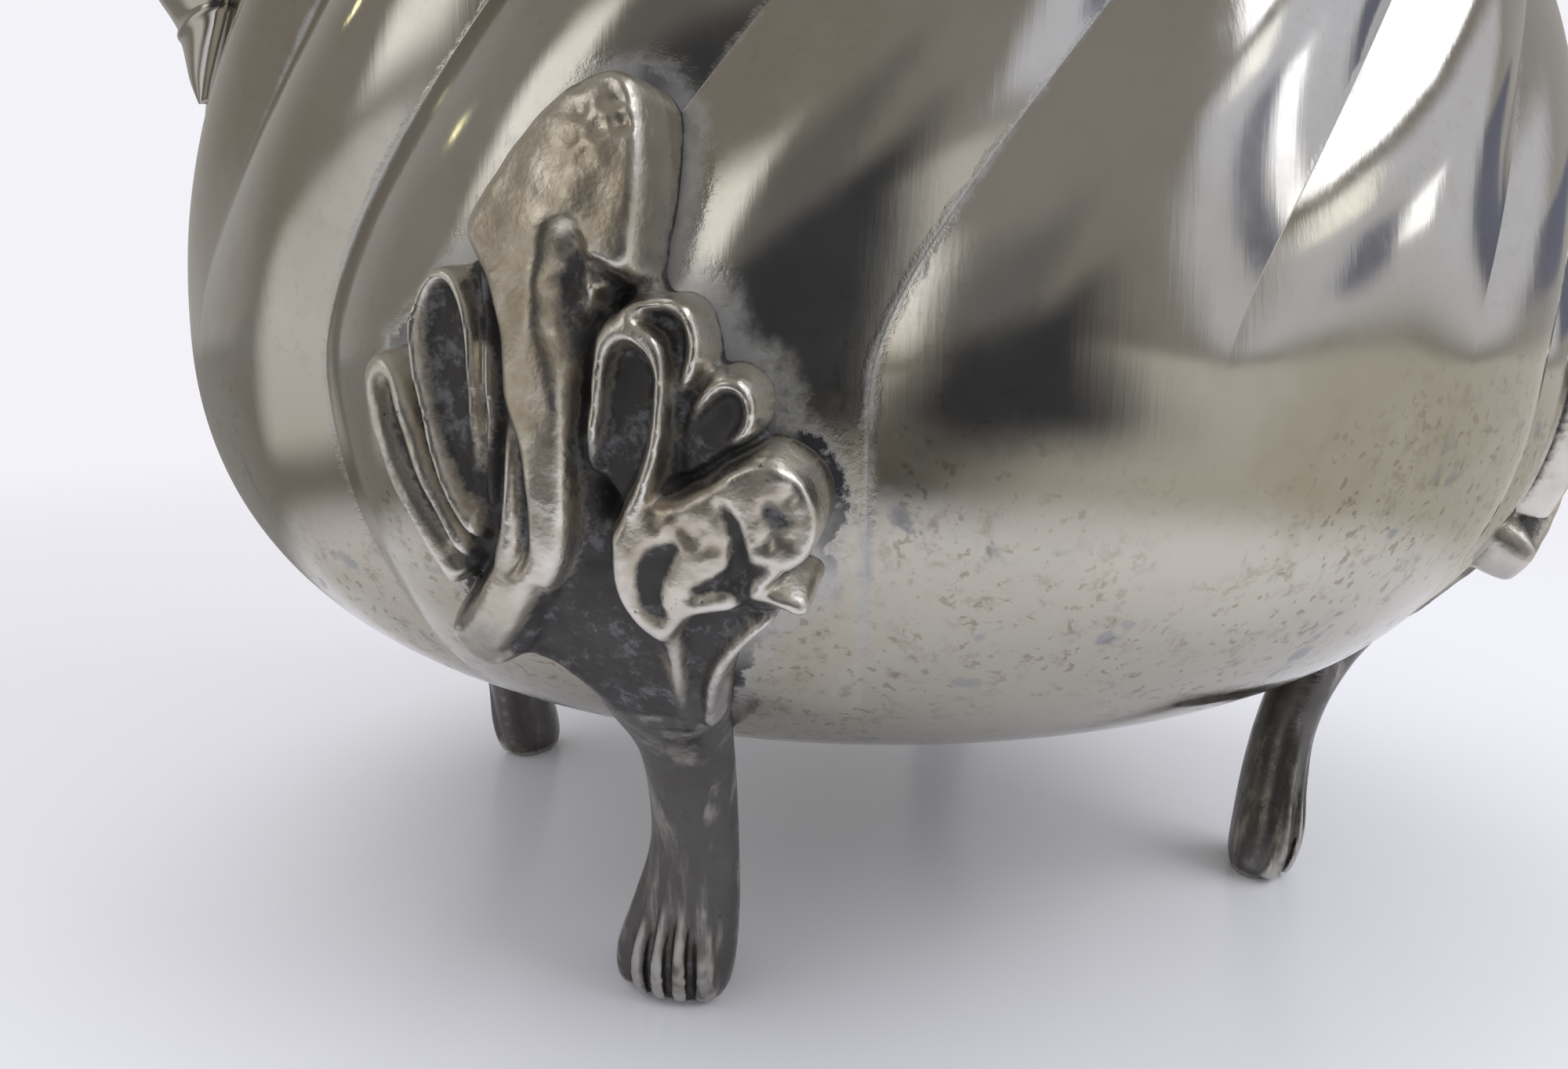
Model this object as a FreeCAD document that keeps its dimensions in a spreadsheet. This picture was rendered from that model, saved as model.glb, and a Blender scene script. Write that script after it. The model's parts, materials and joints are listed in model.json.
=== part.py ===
import FreeCAD, Part
import math
import os

import Sketcher
from FreeCAD import Placement, Rotation, Vector

# Silver coffee pot on four cast leaf feet. Millimetres. The origin is on the pot's axis at table height,
# +Z is up, the spout points to -X, the handle to +X, and the feet stand on the four diagonals.

# Driving dimensions

SIZES = [
    ("belly_radius", 60.0, "body over the crests of the flutes, at its widest"),
    ("belly_height", 49.3, "height of the widest place"),
    ("underside_height", 15.7, "height of the body's underside over the table"),
    ("base_radius", 22.0, "opening in the underside that the base disc closes"),
    ("neck_radius", 31.0, "body at its narrowest"),
    ("neck_height", 152.0, "height of the narrowest place"),
    ("mouth_radius", 34.5, "outside of the body's edge"),
    ("mouth_height", 186.0, "height of the body's edge"),
    ("body_wall", 1.0, "thickness of the raised body"),
    ("underside_roundness", 2.2, "power of the underside's curve along its height"),
    ("underside_fullness", 3.09, "power of the underside's curve along its radius"),
    ("flute_count", 20, "flutes around the body, five to each foot"),
    ("flute_depth", 2.0, "depth of a crease below the crests at the belly"),
    ("flute_turn", 0.85, "degrees that the flutes turn for each millimetre of height"),
    ("flute_turn_start", 46.0, "height where the flutes leave the upright"),
    ("flute_turn_ease", 6.0, "height over which the turn sets in"),
    ("long_crease_end", 20.0, "height where the creases beside a foot run out"),
    ("long_crease_full", 34.0, "height where the creases beside a foot have their full depth"),
    ("short_crease_end", 46.0, "height where the creases between the feet run out"),
    ("short_crease_full", 68.0, "height where the creases between the feet have their full depth"),
    ("crease_top_full", 158.0, "height where the creases start to fade under the mouth"),
    ("crease_top_end", 176.0, "height where the neck is plain"),
    ("solder_gap", 0.05, "space between curved faces that are soldered"),
    ("seat_gap", 0.2, "space between the closed lid and the mouth"),
    ("running_gap", 0.05, "radial space of a pin that turns"),
    ("foot_inset", 18.4, "how far the paws stand inside the belly's radius"),
    ("leaf_half_width", 15.0, "half the width of a foot's leaf"),
    ("leaf_height", 35.0, "height of a foot's leaf"),
    ("leaf_foot_height", 27.0, "height of the leaf's lower end"),
    ("leaf_lift", 3.2, "height of the leaf's lobes over the body, at their middle"),
    ("leaf_thickness", 2.6, "thickness of the leaf's lobes"),
    ("leg_half_width", 2.8, "half width of a leg at its ankle"),
    ("strainer_hole_radius", 1.6, "holes in the body behind the spout"),
    ("strainer_pitch", 5.2, "distance between those holes"),
    ("spout_root_height", 84.0, "height of the middle of the spout's root"),
    ("spout_rise", 88.0, "height of the spout's mouth over the middle of its root"),
    ("spout_stand", 36.0, "how far the spout's mouth stands out from the belly"),
    ("spout_root_sink", 4.0, "how far the middle of the spout's root lies inside the body"),
    ("spout_root_half_height", 15.0, "half the spout's depth at its root"),
    ("spout_root_half_width", 11.5, "half the spout's width at its root"),
    ("spout_tip_radius", 6.4, "outside of the spout at its mouth"),
    ("spout_tip_angle", 42.0, "slope of the spout's mouth piece, degrees"),
    ("spout_tip_length", 4.0, "straight stretch at the spout's mouth"),
    ("spout_wall", 1.0, "thickness of the spout"),
    ("lip_width", 1.1, "how far the spout's lip wire stands out"),
    ("lip_length", 2.4, "length of the spout's lip wire along the spout"),
    ("drop_length", 10.0, "pointed drop below the spout's root"),
    ("drop_half_width", 3.2, "half width of that drop"),
    ("drop_thickness", 2.6, "thickness of that drop"),
    ("rim_width", 2.6, "how far the mouth's wire stands out"),
    ("rim_height", 5.0, "height of the mouth's wire"),
    ("lid_rim_width", 2.6, "how far the lid's wire reaches past the body's edge"),
    ("lid_rim_height", 2.1, "height of the lid's wire"),
    ("lid_height", 25.0, "height of the lid's dome over its wire"),
    ("lid_wall", 1.0, "thickness of the lid"),
    ("lid_flute_depth", 1.0, "depth of the lid's creases"),
    ("lid_turn", 60.0, "degrees that the lid's flutes turn from edge to crown"),
    ("bezel_depth", 6.0, "how far the bezel reaches into the mouth"),
    ("bezel_wall", 0.9, "thickness of the bezel"),
    ("bezel_gap", 0.5, "space around the bezel in the mouth"),
    ("knuckle_radius", 2.3, "outside of the hinge's knuckles"),
    ("hinge_clear", 0.4, "space between the hinge barrel and the mouth's wire"),
    ("hinge_length", 18.0, "length of the whole hinge barrel"),
    ("lid_knuckle_length", 6.0, "length of the lid's knuckle"),
    ("knuckle_gap", 0.2, "space between two knuckles"),
    ("hinge_pin_radius", 1.0, "hinge pin"),
    ("hinge_head_radius", 1.6, "heads of the hinge pin"),
    ("hinge_head_length", 0.8, "length of those heads"),
    ("socket_radius", 7.4, "handle sockets at their mouths"),
    ("socket_root_radius", 9.0, "handle sockets where they meet the body"),
    ("socket_collar_width", 1.0, "how far a socket's collar stands out"),
    ("upper_socket_height", 160.0, "height of the upper socket's axis at the pot's axis line"),
    ("upper_socket_slope", 12.0, "rise of the upper socket, degrees"),
    ("upper_socket_stand", 27.0, "length of the upper socket past the neck's radius"),
    ("lower_socket_height", 66.0, "height of the lower socket's axis at the pot's axis line"),
    ("lower_socket_slope", 18.0, "rise of the lower socket, degrees"),
    ("lower_socket_stand", 14.0, "length of the lower socket past the belly's radius"),
    ("tenon_radius", 4.6, "ends of the grip inside the sockets"),
    ("tenon_length", 10.0, "length of those ends"),
    ("handle_pin_radius", 0.9, "pins through the sockets"),
    ("grip_stand", 33.2, "how far the grip's middle line stands out from the belly"),
    ("grip_half_depth", 6.6, "half thickness of the grip across its bow"),
    ("grip_half_width", 7.6, "half width of the grip"),
    ("finial_seat_radius", 6.5, "flat place on the lid's crown"),
    ("finial_screw_radius", 1.5, "screw that holds the finial"),
    ("calyx_height", 10.0, "height of the finial's foot"),
    ("calyx_radius", 6.6, "radius of the finial's foot at its cup"),
    ("calyx_waist_radius", 2.8, "radius of the finial's foot at its waist"),
    ("bud_height", 19.0, "height of the bud"),
    ("bud_radius", 7.4, "radius of the bud"),
    ("bud_crease_depth", 0.8, "depth of the creases between the bud's petals"),
    ("bud_bore_depth", 8.0, "depth of the screw's hole in the bud"),
    ("washer_radius", 4.6, "washer inside the lid"),
    ("washer_thickness", 0.8, "thickness of that washer"),
    ("nut_half_width", 3.2, "half the width across the nut's flats"),
    ("nut_height", 2.6, "height of the nut"),
]

# Shares that shape the curves

COLUMN_PHASES = (0.0, 0.07, 0.25, 0.5, 0.75, 0.93)
OVAL_POINTS = 8
UNDERSIDE_ROWS = 9
SHOULDER_ROWS = 15
COLLAR_ROWS = 6
LONG_CREASES = (4, 0, 1)
CREASES_PER_FOOT = 5
FOOT_ANGLES = {
    "foot_handle_back": 45.0,
    "foot_spout_back": 135.0,
    "foot_spout_front": 225.0,
    "foot_handle_front": 315.0,
}
FIRST_FOOT_ANGLE = 45.0

doc = FreeCAD.newDocument("coffee_pot")
sheet = doc.addObject("Spreadsheet::Sheet", "dims")
for line, (alias, value, note) in enumerate(SIZES, start=1):
    sheet.set(f"A{line}", note)
    sheet.set(f"B{line}", str(value))
    sheet.setAlias(f"B{line}", alias)
doc.recompute()

subparts = []


def size(alias):
    """Number in the sheet's cell of that name."""
    return float(sheet.get(alias))


def worked_out(expression):
    """Value of an expression over the sheet."""
    return float(sheet.evalExpression(expression))


# Sketches and features

def new_body(label):
    body = doc.addObject("PartDesign::Body", label)
    body.Label = label
    return body


def keep(item):
    """Hand the item in as a sub-part under its label."""
    subparts.append(item)
    return item


def origin_plane(body, role):
    return next(item for item in body.Origin.OriginFeatures if item.Role == role)


def new_sketch(body, name, role):
    sketch = body.newObject("Sketcher::SketchObject", name)
    sketch.AttachmentSupport = (origin_plane(body, role), [""])
    sketch.MapMode = "FlatFace"
    return sketch


def bind(sketch, constraint, expression):
    """Add a constraint and tie its value to the sheet."""
    index = sketch.addConstraint(constraint)
    sketch.setExpression(f"Constraints[{index}]", expression)


def arc_between(start, end, bulge):
    """Arc between two points whose radius is bulge times their distance, always drawn anticlockwise."""
    if bulge < 0:
        return arc_between(end, start, -bulge)
    chord = end - start
    radius, half = bulge * chord.Length, chord.Length / 2
    left = Vector(-chord.y, chord.x, 0).normalize()
    sagitta = radius - math.sqrt(radius * radius - half * half)
    return Part.Arc(start, (start + end) / 2 - left * sagitta, end)


def outline(body, name, corners, role="XZ_Plane"):
    """Closed sketch through corners (x, y) or (x, y, bulge), written over the sheet.

    A bulge makes an arc of the side that leaves that corner: its radius is the bulge times the side's length,
    and a negative one makes the side hollow on an outline that runs anticlockwise.
    """
    sketch = new_sketch(body, name, role)
    points = [Vector(worked_out(corner[0]), worked_out(corner[1]), 0) for corner in corners]
    ends = []
    for i, corner in enumerate(corners):
        start, end = points[i], points[(i + 1) % len(points)]
        if len(corner) == 3:
            sketch.addGeometry(arc_between(start, end, corner[2]))
            ends.append((1, 2) if corner[2] > 0 else (2, 1))
        else:
            sketch.addGeometry(Part.LineSegment(start, end))
            ends.append((1, 2))
    for i, corner in enumerate(corners):
        following = (i + 1) % len(corners)
        sketch.addConstraint(Sketcher.Constraint("Coincident", i, ends[i][1], following, ends[following][0]))
        bind(sketch, Sketcher.Constraint("DistanceX", -1, 1, i, ends[i][0], points[i].x), corner[0])
        bind(sketch, Sketcher.Constraint("DistanceY", -1, 1, i, ends[i][0], points[i].y), corner[1])
        if len(corner) == 3:
            across, up = (f"({corners[following][axis]} - ({corner[axis]}))" for axis in (0, 1))
            radius = f"{abs(corner[2])} * sqrt({across}^2 + {up}^2)"
            bind(sketch, Sketcher.Constraint("Radius", i, worked_out(radius)), radius)
    return sketch


def disc(body, name, x, y, radius, role="XZ_Plane"):
    """Sketch of one circle."""
    sketch = new_sketch(body, name, role)
    centre = Vector(worked_out(x), worked_out(y), 0)
    sketch.addGeometry(Part.Circle(centre, Vector(0, 0, 1), worked_out(radius)))
    bind(sketch, Sketcher.Constraint("DistanceX", -1, 1, 0, 3, centre.x), x)
    bind(sketch, Sketcher.Constraint("DistanceY", -1, 1, 0, 3, centre.y), y)
    bind(sketch, Sketcher.Constraint("Radius", 0, worked_out(radius)), radius)
    return sketch


def turned(body, kind, sketch):
    """Full turn of a sketch about its upright axis, added or cut away."""
    feature = body.newObject(kind, f"{sketch.Name}_turned")
    feature.Profile = sketch
    feature.ReferenceAxis = (sketch, ["V_Axis"])
    feature.Angle = 360
    return feature


def raised(body, kind, sketch, length, symmetric=True):
    """Pad or pocket of a sketch, to both sides of its plane or along its normal."""
    feature = body.newObject(kind, f"{sketch.Name}_raised")
    feature.Profile = sketch
    feature.SideType = "Symmetric" if symmetric else "One side"
    feature.setExpression("Length", length)
    return feature


def turned_piece(label, corners):
    """Body of one full turn about Z."""
    body = new_body(label)
    turned(body, "PartDesign::Revolution", outline(body, f"{label}_outline", corners))
    return body


def place(item, x, z, tilt="0"):
    """Put a piece's own origin in the plane of spout and handle, its Z axis leaning towards +X by a tilt in degrees."""
    item.Placement = Placement(Vector(), Rotation(Vector(0, 1, 0), worked_out(tilt)))
    item.setExpression("Placement.Base.x", x)
    item.setExpression("Placement.Base.z", z)
    if tilt != "0":
        item.setExpression("Placement.Rotation.Angle", f"({tilt}) * 1 deg")


def made_shape(label, shape):
    """Sub-part whose shape comes from free surfaces."""
    item = doc.addObject("Part::Feature", label)
    item.Label = label
    item.Shape = shape
    item.Placement = Placement()
    return item


# Free surfaces

def eased(low, high, value):
    """Smooth rise from 0 at low to 1 at high."""
    share = min(max((value - low) / (high - low), 0.0), 1.0)
    return share * share * (3.0 - 2.0 * share)


def spline_face(columns):
    """Surface over a net of control points, closed around and open along."""
    around, along = len(columns), len(columns[0])
    surface = Part.BSplineSurface()
    surface.buildFromPolesMultsKnots(
        columns,
        [1] * (around + 1), [4] + [1] * (along - 4) + [4],
        list(range(around + 1)), list(range(along - 2)),
        True, False, 3, 3,
    )
    return surface


def end_edges(surface):
    """Edges around the two open ends of a surface."""
    low, high = surface.bounds()[2:]
    return surface.vIso(low).toShape(), surface.vIso(high).toShape()


def sewn_solid(faces):
    shell = Part.Compound(faces)
    shell.sewShape()
    solid = Part.Solid(Part.Shell(shell.Faces))
    if solid.Volume < 0:
        solid.reverse()
    return solid


def tube_solid(outer, inner):
    """Solid wall between two surfaces that end at the same places."""
    faces = [outer.toShape(), inner.toShape()]
    for outer_edge, inner_edge in zip(end_edges(outer), end_edges(inner)):
        faces.append(Part.makeRuledSurface(outer_edge, inner_edge))
    return sewn_solid(faces)


def filled_solid(outer):
    """Solid inside one surface, closed flat at both ends."""
    return sewn_solid([outer.toShape()] + [Part.Face(Part.Wire(edge)) for edge in end_edges(outer)])


def inset_rows(rows, wall, start_normal, end_normal):
    """Rows moved inwards by the wall, square to the outline, with stated directions at both ends."""
    inner = []
    for i, (radius, z) in enumerate(rows):
        before, after = rows[max(i - 1, 0)], rows[min(i + 1, len(rows) - 1)]
        run = Vector(after[0] - before[0], after[1] - before[1], 0).normalize()
        normal = (run.y, -run.x)
        if i == 0:
            normal = start_normal
        if i == len(rows) - 1:
            normal = end_normal
        inner.append((radius - wall * normal[0], z - wall * normal[1]))
    return inner


def loft_through(wires):
    return Part.makeLoft(wires, True, False)


def oval_wire(centre, across, along):
    """Closed smooth wire around an ellipse with two given half axes."""
    points = []
    for i in range(OVAL_POINTS):
        turn = 2 * math.pi * i / OVAL_POINTS
        points.append(centre + across * math.cos(turn) + along * math.sin(turn))
    curve = Part.BSplineCurve()
    curve.interpolate(Points=points, PeriodicFlag=True)
    return Part.Wire(curve.toShape())


# Body

def flute_twist(z):
    """Turn of the flutes at a height, in radians."""
    climb = max(z - size("flute_turn_start"), 0.0)
    ease = size("flute_turn_ease")
    return math.radians(size("flute_turn") * (climb - ease * (1.0 - math.exp(-climb / ease))))


def crease_depth(crease, radius, z):
    """Depth of one crease at a height: those beside a foot run further down."""
    if crease % CREASES_PER_FOOT in LONG_CREASES:
        foot_fade = eased(size("long_crease_end"), size("long_crease_full"), z)
    else:
        foot_fade = eased(size("short_crease_end"), size("short_crease_full"), z)
    top_fade = 1.0 - eased(size("crease_top_full"), size("crease_top_end"), z)
    return size("flute_depth") * radius / size("belly_radius") * foot_fade * top_fade


def body_rows():
    """Outline of the body over its crests, as (radius, height), from the base opening to the mouth."""
    belly, neck, mouth = size("belly_radius"), size("neck_radius"), size("mouth_radius")
    belly_z, neck_z, mouth_z = size("belly_height"), size("neck_height"), size("mouth_height")
    roundness, fullness = size("underside_roundness"), size("underside_fullness")
    drop = belly_z - size("underside_height")
    start = math.asin((size("base_radius") / belly) ** (fullness / 2))
    rows = []
    for i in range(UNDERSIDE_ROWS):
        turn = start + (math.pi / 2 - start) * i / UNDERSIDE_ROWS
        rows.append((belly * math.sin(turn) ** (2 / fullness), belly_z - drop * math.cos(turn) ** (2 / roundness)))
    for i in range(SHOULDER_ROWS):
        share = i / SHOULDER_ROWS
        swell = 0.5 * (1 + math.cos(math.pi * share))
        rows.append((neck + (belly - neck) * swell, belly_z + (neck_z - belly_z) * share))
    for i in range(COLLAR_ROWS + 1):
        share = i / COLLAR_ROWS
        flare = 0.5 * (1 - math.cos(math.pi * share))
        rows.append((neck + (mouth - neck) * flare, neck_z + (mouth_z - neck_z) * share))
    return rows


def fluted_columns(rows):
    """Control points over body rows, with columns that follow the creases."""
    count = int(size("flute_count"))
    columns = []
    for crease in range(count):
        for phase in COLUMN_PHASES:
            nearest = crease if phase < 0.5 else crease + 1
            column = []
            for radius, z in rows:
                dip = crease_depth(nearest, radius, z) * (1.0 - math.sin(math.pi * phase))
                angle = math.radians(FIRST_FOOT_ANGLE) + 2 * math.pi * (crease + phase) / count + flute_twist(z)
                column.append(Vector((radius - dip) * math.cos(angle), (radius - dip) * math.sin(angle), z))
            columns.append(column)
    return columns


def crest_radius(z):
    """Radius of the body's underside and belly over the crests, below its widest place."""
    low = min(max((size("belly_height") - z) / (size("belly_height") - size("underside_height")), 0.0), 1.0)
    return size("belly_radius") * (1 - low ** size("underside_roundness")) ** (1 / size("underside_fullness"))


def shoulder_radius(z):
    """Radius of the body over the crests, between its widest place and its neck."""
    share = (z - size("belly_height")) / (size("neck_height") - size("belly_height"))
    swell = 0.5 * (1 + math.cos(math.pi * min(max(share, 0.0), 1.0)))
    return size("neck_radius") + (size("belly_radius") - size("neck_radius")) * swell


def body_radius(z):
    return crest_radius(z) if z < size("belly_height") else shoulder_radius(z)


body_outline = body_rows()
outer_surface = spline_face(fluted_columns(body_outline))
inner_surface = spline_face(fluted_columns(inset_rows(body_outline, size("body_wall"), (0, -1), (1, 0))))
body_envelope = filled_solid(outer_surface)


def strainer_drills():
    """Cylinders that pierce the wall in a round patch behind the spout's root."""
    pitch, radius = size("strainer_pitch"), size("strainer_hole_radius")
    patch = size("spout_root_half_width") - size("spout_wall") - radius
    steps = int(patch / pitch) + 1
    middle = size("spout_root_height") + size("strainer_pitch")
    drills = []
    for row in range(-steps, steps + 1):
        for column in range(-steps, steps + 1):
            y = pitch * (column + (row % 2) / 2)
            up = pitch * row * math.sqrt(3) / 2
            if math.hypot(y, up) <= patch:
                start = Vector(-size("belly_radius"), y, middle + up)
                drills.append(Part.makeCylinder(radius, size("belly_radius") / 2, start, Vector(1, 0, 0)))
    return drills


def build_body():
    shell = tube_solid(outer_surface, inner_surface)
    keep(made_shape("body_shell", shell.cut(strainer_drills())))
    wall, radius = "dims.body_wall", "dims.base_radius - 2 * dims.solder_gap"
    body = new_body("base_disc")
    raised(body, "PartDesign::Pad", disc(body, "base_disc_outline", "0", "0", radius, "XY_Plane"), wall, False)
    place(body, "0", str(body_outline[0][1]))
    keep(body)


# Feet

# Lobes of the leaf. Each station is (side, height, half width, lift): side and half width are shares of the
# leaf's half width, height is a share of the leaf's height, and lift is a share of the leaf's lift.
LEAF_LOBES = {
    "web": [(0.26, -0.04, 0.36, 0.25), (0.22, 0.10, 0.62, 0.25), (0.16, 0.30, 0.60, 0.25),
            (0.16, 0.50, 0.42, 0.25), (0.28, 0.72, 0.26, 0.25), (0.37, 0.90, 0.12, 0.25)],
    "crown": [(0.10, 0.16, 0.20, 0.8), (0.16, 0.43, 0.22, 1.1), (0.23, 0.64, 0.27, 1.2),
              (0.30, 0.81, 0.30, 1.1), (0.37, 0.93, 0.26, 0.9), (0.44, 1.00, 0.12, 0.7)],
    "right_high": [(0.30, 0.24, 0.14, 1.0), (0.44, 0.48, 0.17, 1.1), (0.56, 0.61, 0.18, 1.1),
                   (0.68, 0.68, 0.09, 0.9)],
    "right_middle": [(0.42, 0.28, 0.14, 1.0), (0.67, 0.47, 0.16, 1.1), (0.82, 0.54, 0.15, 1.1),
                     (0.93, 0.57, 0.08, 0.9)],
    "right_broad": [(0.45, 0.27, 0.17, 1.0), (0.76, 0.36, 0.21, 1.2), (0.98, 0.385, 0.21, 1.2),
                    (1.13, 0.38, 0.10, 0.9)],
    "right_lip": [(0.40, 0.14, 0.12, 1.1), (0.68, 0.21, 0.13, 1.3), (0.92, 0.22, 0.11, 1.2),
                  (1.10, 0.21, 0.06, 0.9)],
    "right_root": [(0.34, 0.02, 0.13, 1.0), (0.58, 0.10, 0.12, 1.0), (0.77, 0.155, 0.10, 0.9),
                   (0.92, 0.185, 0.05, 0.7)],
    "left_tall": [(-0.20, 0.14, 0.12, 0.8), (-0.25, 0.37, 0.14, 0.9), (-0.27, 0.56, 0.16, 0.9),
                  (-0.28, 0.69, 0.12, 0.8), (-0.29, 0.74, 0.05, 0.6)],
    "left_short": [(-0.32, 0.14, 0.11, 0.8), (-0.46, 0.35, 0.13, 0.8), (-0.53, 0.49, 0.13, 0.8),
                   (-0.58, 0.60, 0.06, 0.6)],
    "left_scroll": [(-0.54, 0.13, 0.08, 0.7), (-0.33, 0.09, 0.12, 0.9), (-0.08, 0.13, 0.15, 1.0),
                    (0.02, 0.27, 0.13, 1.1), (0.04, 0.43, 0.10, 1.0)],
}

# Stations down a leg: (distance out from the paw, side, height, half width, half depth), as shares of the foot's
# inset, the leg's half width, the height of the leaf's lower end, and the leg's half width again for the last two.
LEG_STATIONS = [
    (0.65, 1.43, 1.15, 1.90, 1.00),
    (0.445, 1.43, 0.96, 1.60, 1.15),
    (0.23, 1.32, 0.80, 1.22, 1.12),
    (0.10, 1.07, 0.64, 1.04, 1.06),
    (0.05, 0.89, 0.48, 1.00, 1.00),
    (0.033, 0.64, 0.32, 1.10, 1.05),
    (0.033, 0.32, 0.16, 1.32, 1.14),
    (0.01, 0.11, 0.05, 1.28, 1.04),
    (0.0, 0.04, 0.00, 1.14, 0.90),
]
GROOVE_WIDTH_SHARE = 0.55
GROOVE_RISE_SHARE = 0.62


def over_body(heading, side, z, lift):
    """Point and outward direction over the body, beside an upright line at a heading in degrees."""
    step = 0.05
    slope = (body_radius(z + step) - body_radius(z - step)) / (2 * step)
    angle = math.radians(heading) + side / size("belly_radius")
    outward = Vector(math.cos(angle), math.sin(angle), -slope).normalize()
    foot_point = Vector(body_radius(z) * math.cos(angle), body_radius(z) * math.sin(angle), z)
    return foot_point + outward * lift, outward


def tongue(places, thickness):
    """Loft of flat ovals through places (centre, outward direction, half width)."""
    wires = []
    for i, (centre, outward, width) in enumerate(places):
        run = places[min(i + 1, len(places) - 1)][0] - places[max(i - 1, 0)][0]
        across = run.cross(outward).normalize()
        depth = min(thickness / 2, 0.95 * width)
        wires.append(oval_wire(centre, across * width, run.cross(across).normalize() * depth))
    return loft_through(wires)


def lobe_loft(stations, width_share, rise, thickness):
    """Loft of flat ellipses along one lobe of the leaf."""
    half_width, height = size("leaf_half_width"), size("leaf_height")
    places = []
    for side, up, width, lift in stations:
        z = size("leaf_foot_height") + up * height
        centre, outward = over_body(FIRST_FOOT_ANGLE, side * half_width, z, lift * size("leaf_lift") + rise)
        places.append((centre, outward, width * half_width * width_share))
    return tongue(places, thickness)


def leg_loft():
    """Leg and paw as one loft of ellipses, from the leaf's lower end to the table."""
    angle = math.radians(FIRST_FOOT_ANGLE)
    outward = Vector(math.cos(angle), math.sin(angle), 0)
    sideways = Vector(-outward.y, outward.x, 0)
    inset, half = size("foot_inset"), size("leg_half_width")
    wires = []
    for out, side, up, width, depth in LEG_STATIONS:
        centre = outward * (size("belly_radius") + (out - 1) * inset) + sideways * side * half
        centre.z = up * size("leaf_foot_height")
        wires.append(oval_wire(centre, sideways * width * half, outward * depth * half))
    return loft_through(wires)


def cast_foot():
    """Leaf, leg and paw of the first foot, seated on the body."""
    thickness = size("leaf_thickness")
    lobes = [lobe_loft(stations, 1.0, 0.0, thickness) for stations in LEAF_LOBES.values()]
    foot = leg_loft().multiFuse(lobes)
    hollows = []
    for name, stations in LEAF_LOBES.items():
        if name == "web":
            continue
        hollows.append(lobe_loft(stations[1:], GROOVE_WIDTH_SHARE, thickness * GROOVE_RISE_SHARE, thickness / 2))
    return foot.cut(hollows).cut(body_envelope)


def build_feet():
    foot = cast_foot()
    for label, angle in FOOT_ANGLES.items():
        item = made_shape(label, foot)
        item.Placement = Placement(Vector(), Rotation(Vector(0, 0, 1), angle - FIRST_FOOT_ANGLE))
        keep(item)


# Spout

# Stations up the spout: (share of its reach, share of its rise, share of its root's size over its tip).
SPOUT_STATIONS = [
    (0.13, -0.16, -0.45),
    (0.06, -0.09, 0.15),
    (0.0, 0.0, 0.85),
    (0.075, 0.12, 0.80),
    (0.17, 0.26, 0.50),
    (0.26, 0.41, 0.28),
    (0.345, 0.56, 0.14),
    (0.46, 0.72, 0.04),
    (0.66, 0.875, 0.0),
]
SPOUT_HEADING = 180.0
SPOUT_REACH = "dims.belly_radius + dims.spout_stand"


def spout_tip():
    """Middle of the spout's mouth and the way it points."""
    slope = math.radians(size("spout_tip_angle"))
    return (
        Vector(-worked_out(SPOUT_REACH), 0, size("spout_root_height") + size("spout_rise")),
        Vector(-math.cos(slope), 0, math.sin(slope)),
    )


def spout_loft(wall, overrun):
    """Loft along the spout, its outside thinned by a wall and its mouth run on by an overrun."""
    root_out = body_radius(size("spout_root_height")) - size("spout_root_sink")
    reach = worked_out(SPOUT_REACH) - root_out
    tip, heading = spout_tip()
    centres, depths, widths = [], [], []
    for out, up, swell in SPOUT_STATIONS:
        centres.append(Vector(-root_out - out * reach, 0, size("spout_root_height") + up * size("spout_rise")))
        depths.append(size("spout_tip_radius") + swell * (size("spout_root_half_height") - size("spout_tip_radius")))
        widths.append(size("spout_tip_radius") + swell * (size("spout_root_half_width") - size("spout_tip_radius")))
    for length in (size("spout_tip_length"), size("spout_tip_length") / 2, -overrun):
        centres.append(tip - heading * length)
        depths.append(size("spout_tip_radius"))
        widths.append(size("spout_tip_radius"))
    wires = []
    sideways = Vector(0, 1, 0)
    for i, centre in enumerate(centres):
        run = centres[min(i + 1, len(centres) - 1)] - centres[max(i - 1, 0)]
        if i >= len(SPOUT_STATIONS):
            run = heading
        across = run.cross(sideways).normalize()
        wires.append(oval_wire(centre, across * (depths[i] - wall), sideways * (widths[i] - wall)))
    return loft_through(wires)


def build_spout():
    outside = spout_loft(0.0, 0.0)
    bore = spout_loft(size("spout_wall"), 2 * size("spout_wall"))
    keep(made_shape("spout", outside.cut(bore).cut(body_envelope)))
    lip = turned_piece("spout_lip", [
        ("dims.spout_tip_radius + dims.solder_gap", "-dims.lip_length"),
        ("dims.spout_tip_radius + 0.3 * dims.lip_width", "-dims.lip_length", 0.6),
        ("dims.spout_tip_radius + 0.3 * dims.lip_width", "0"),
        ("dims.spout_tip_radius + dims.solder_gap", "0"),
    ])
    place(lip, f"-({SPOUT_REACH})", "dims.spout_root_height + dims.spout_rise", "dims.spout_tip_angle - 90")
    keep(lip)
    build_drop(outside)


# Stations down the drop: shares of its length, its half width and its thickness (for the lift of its middle).
DROP_STATIONS = [
    (0.0, 0.9, 0.35),
    (0.14, 1.1, 0.38),
    (0.26, 0.7, 0.31),
    (0.5, 0.95, 0.31),
    (0.8, 0.6, 0.23),
    (1.0, 0.16, 0.12),
]


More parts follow.
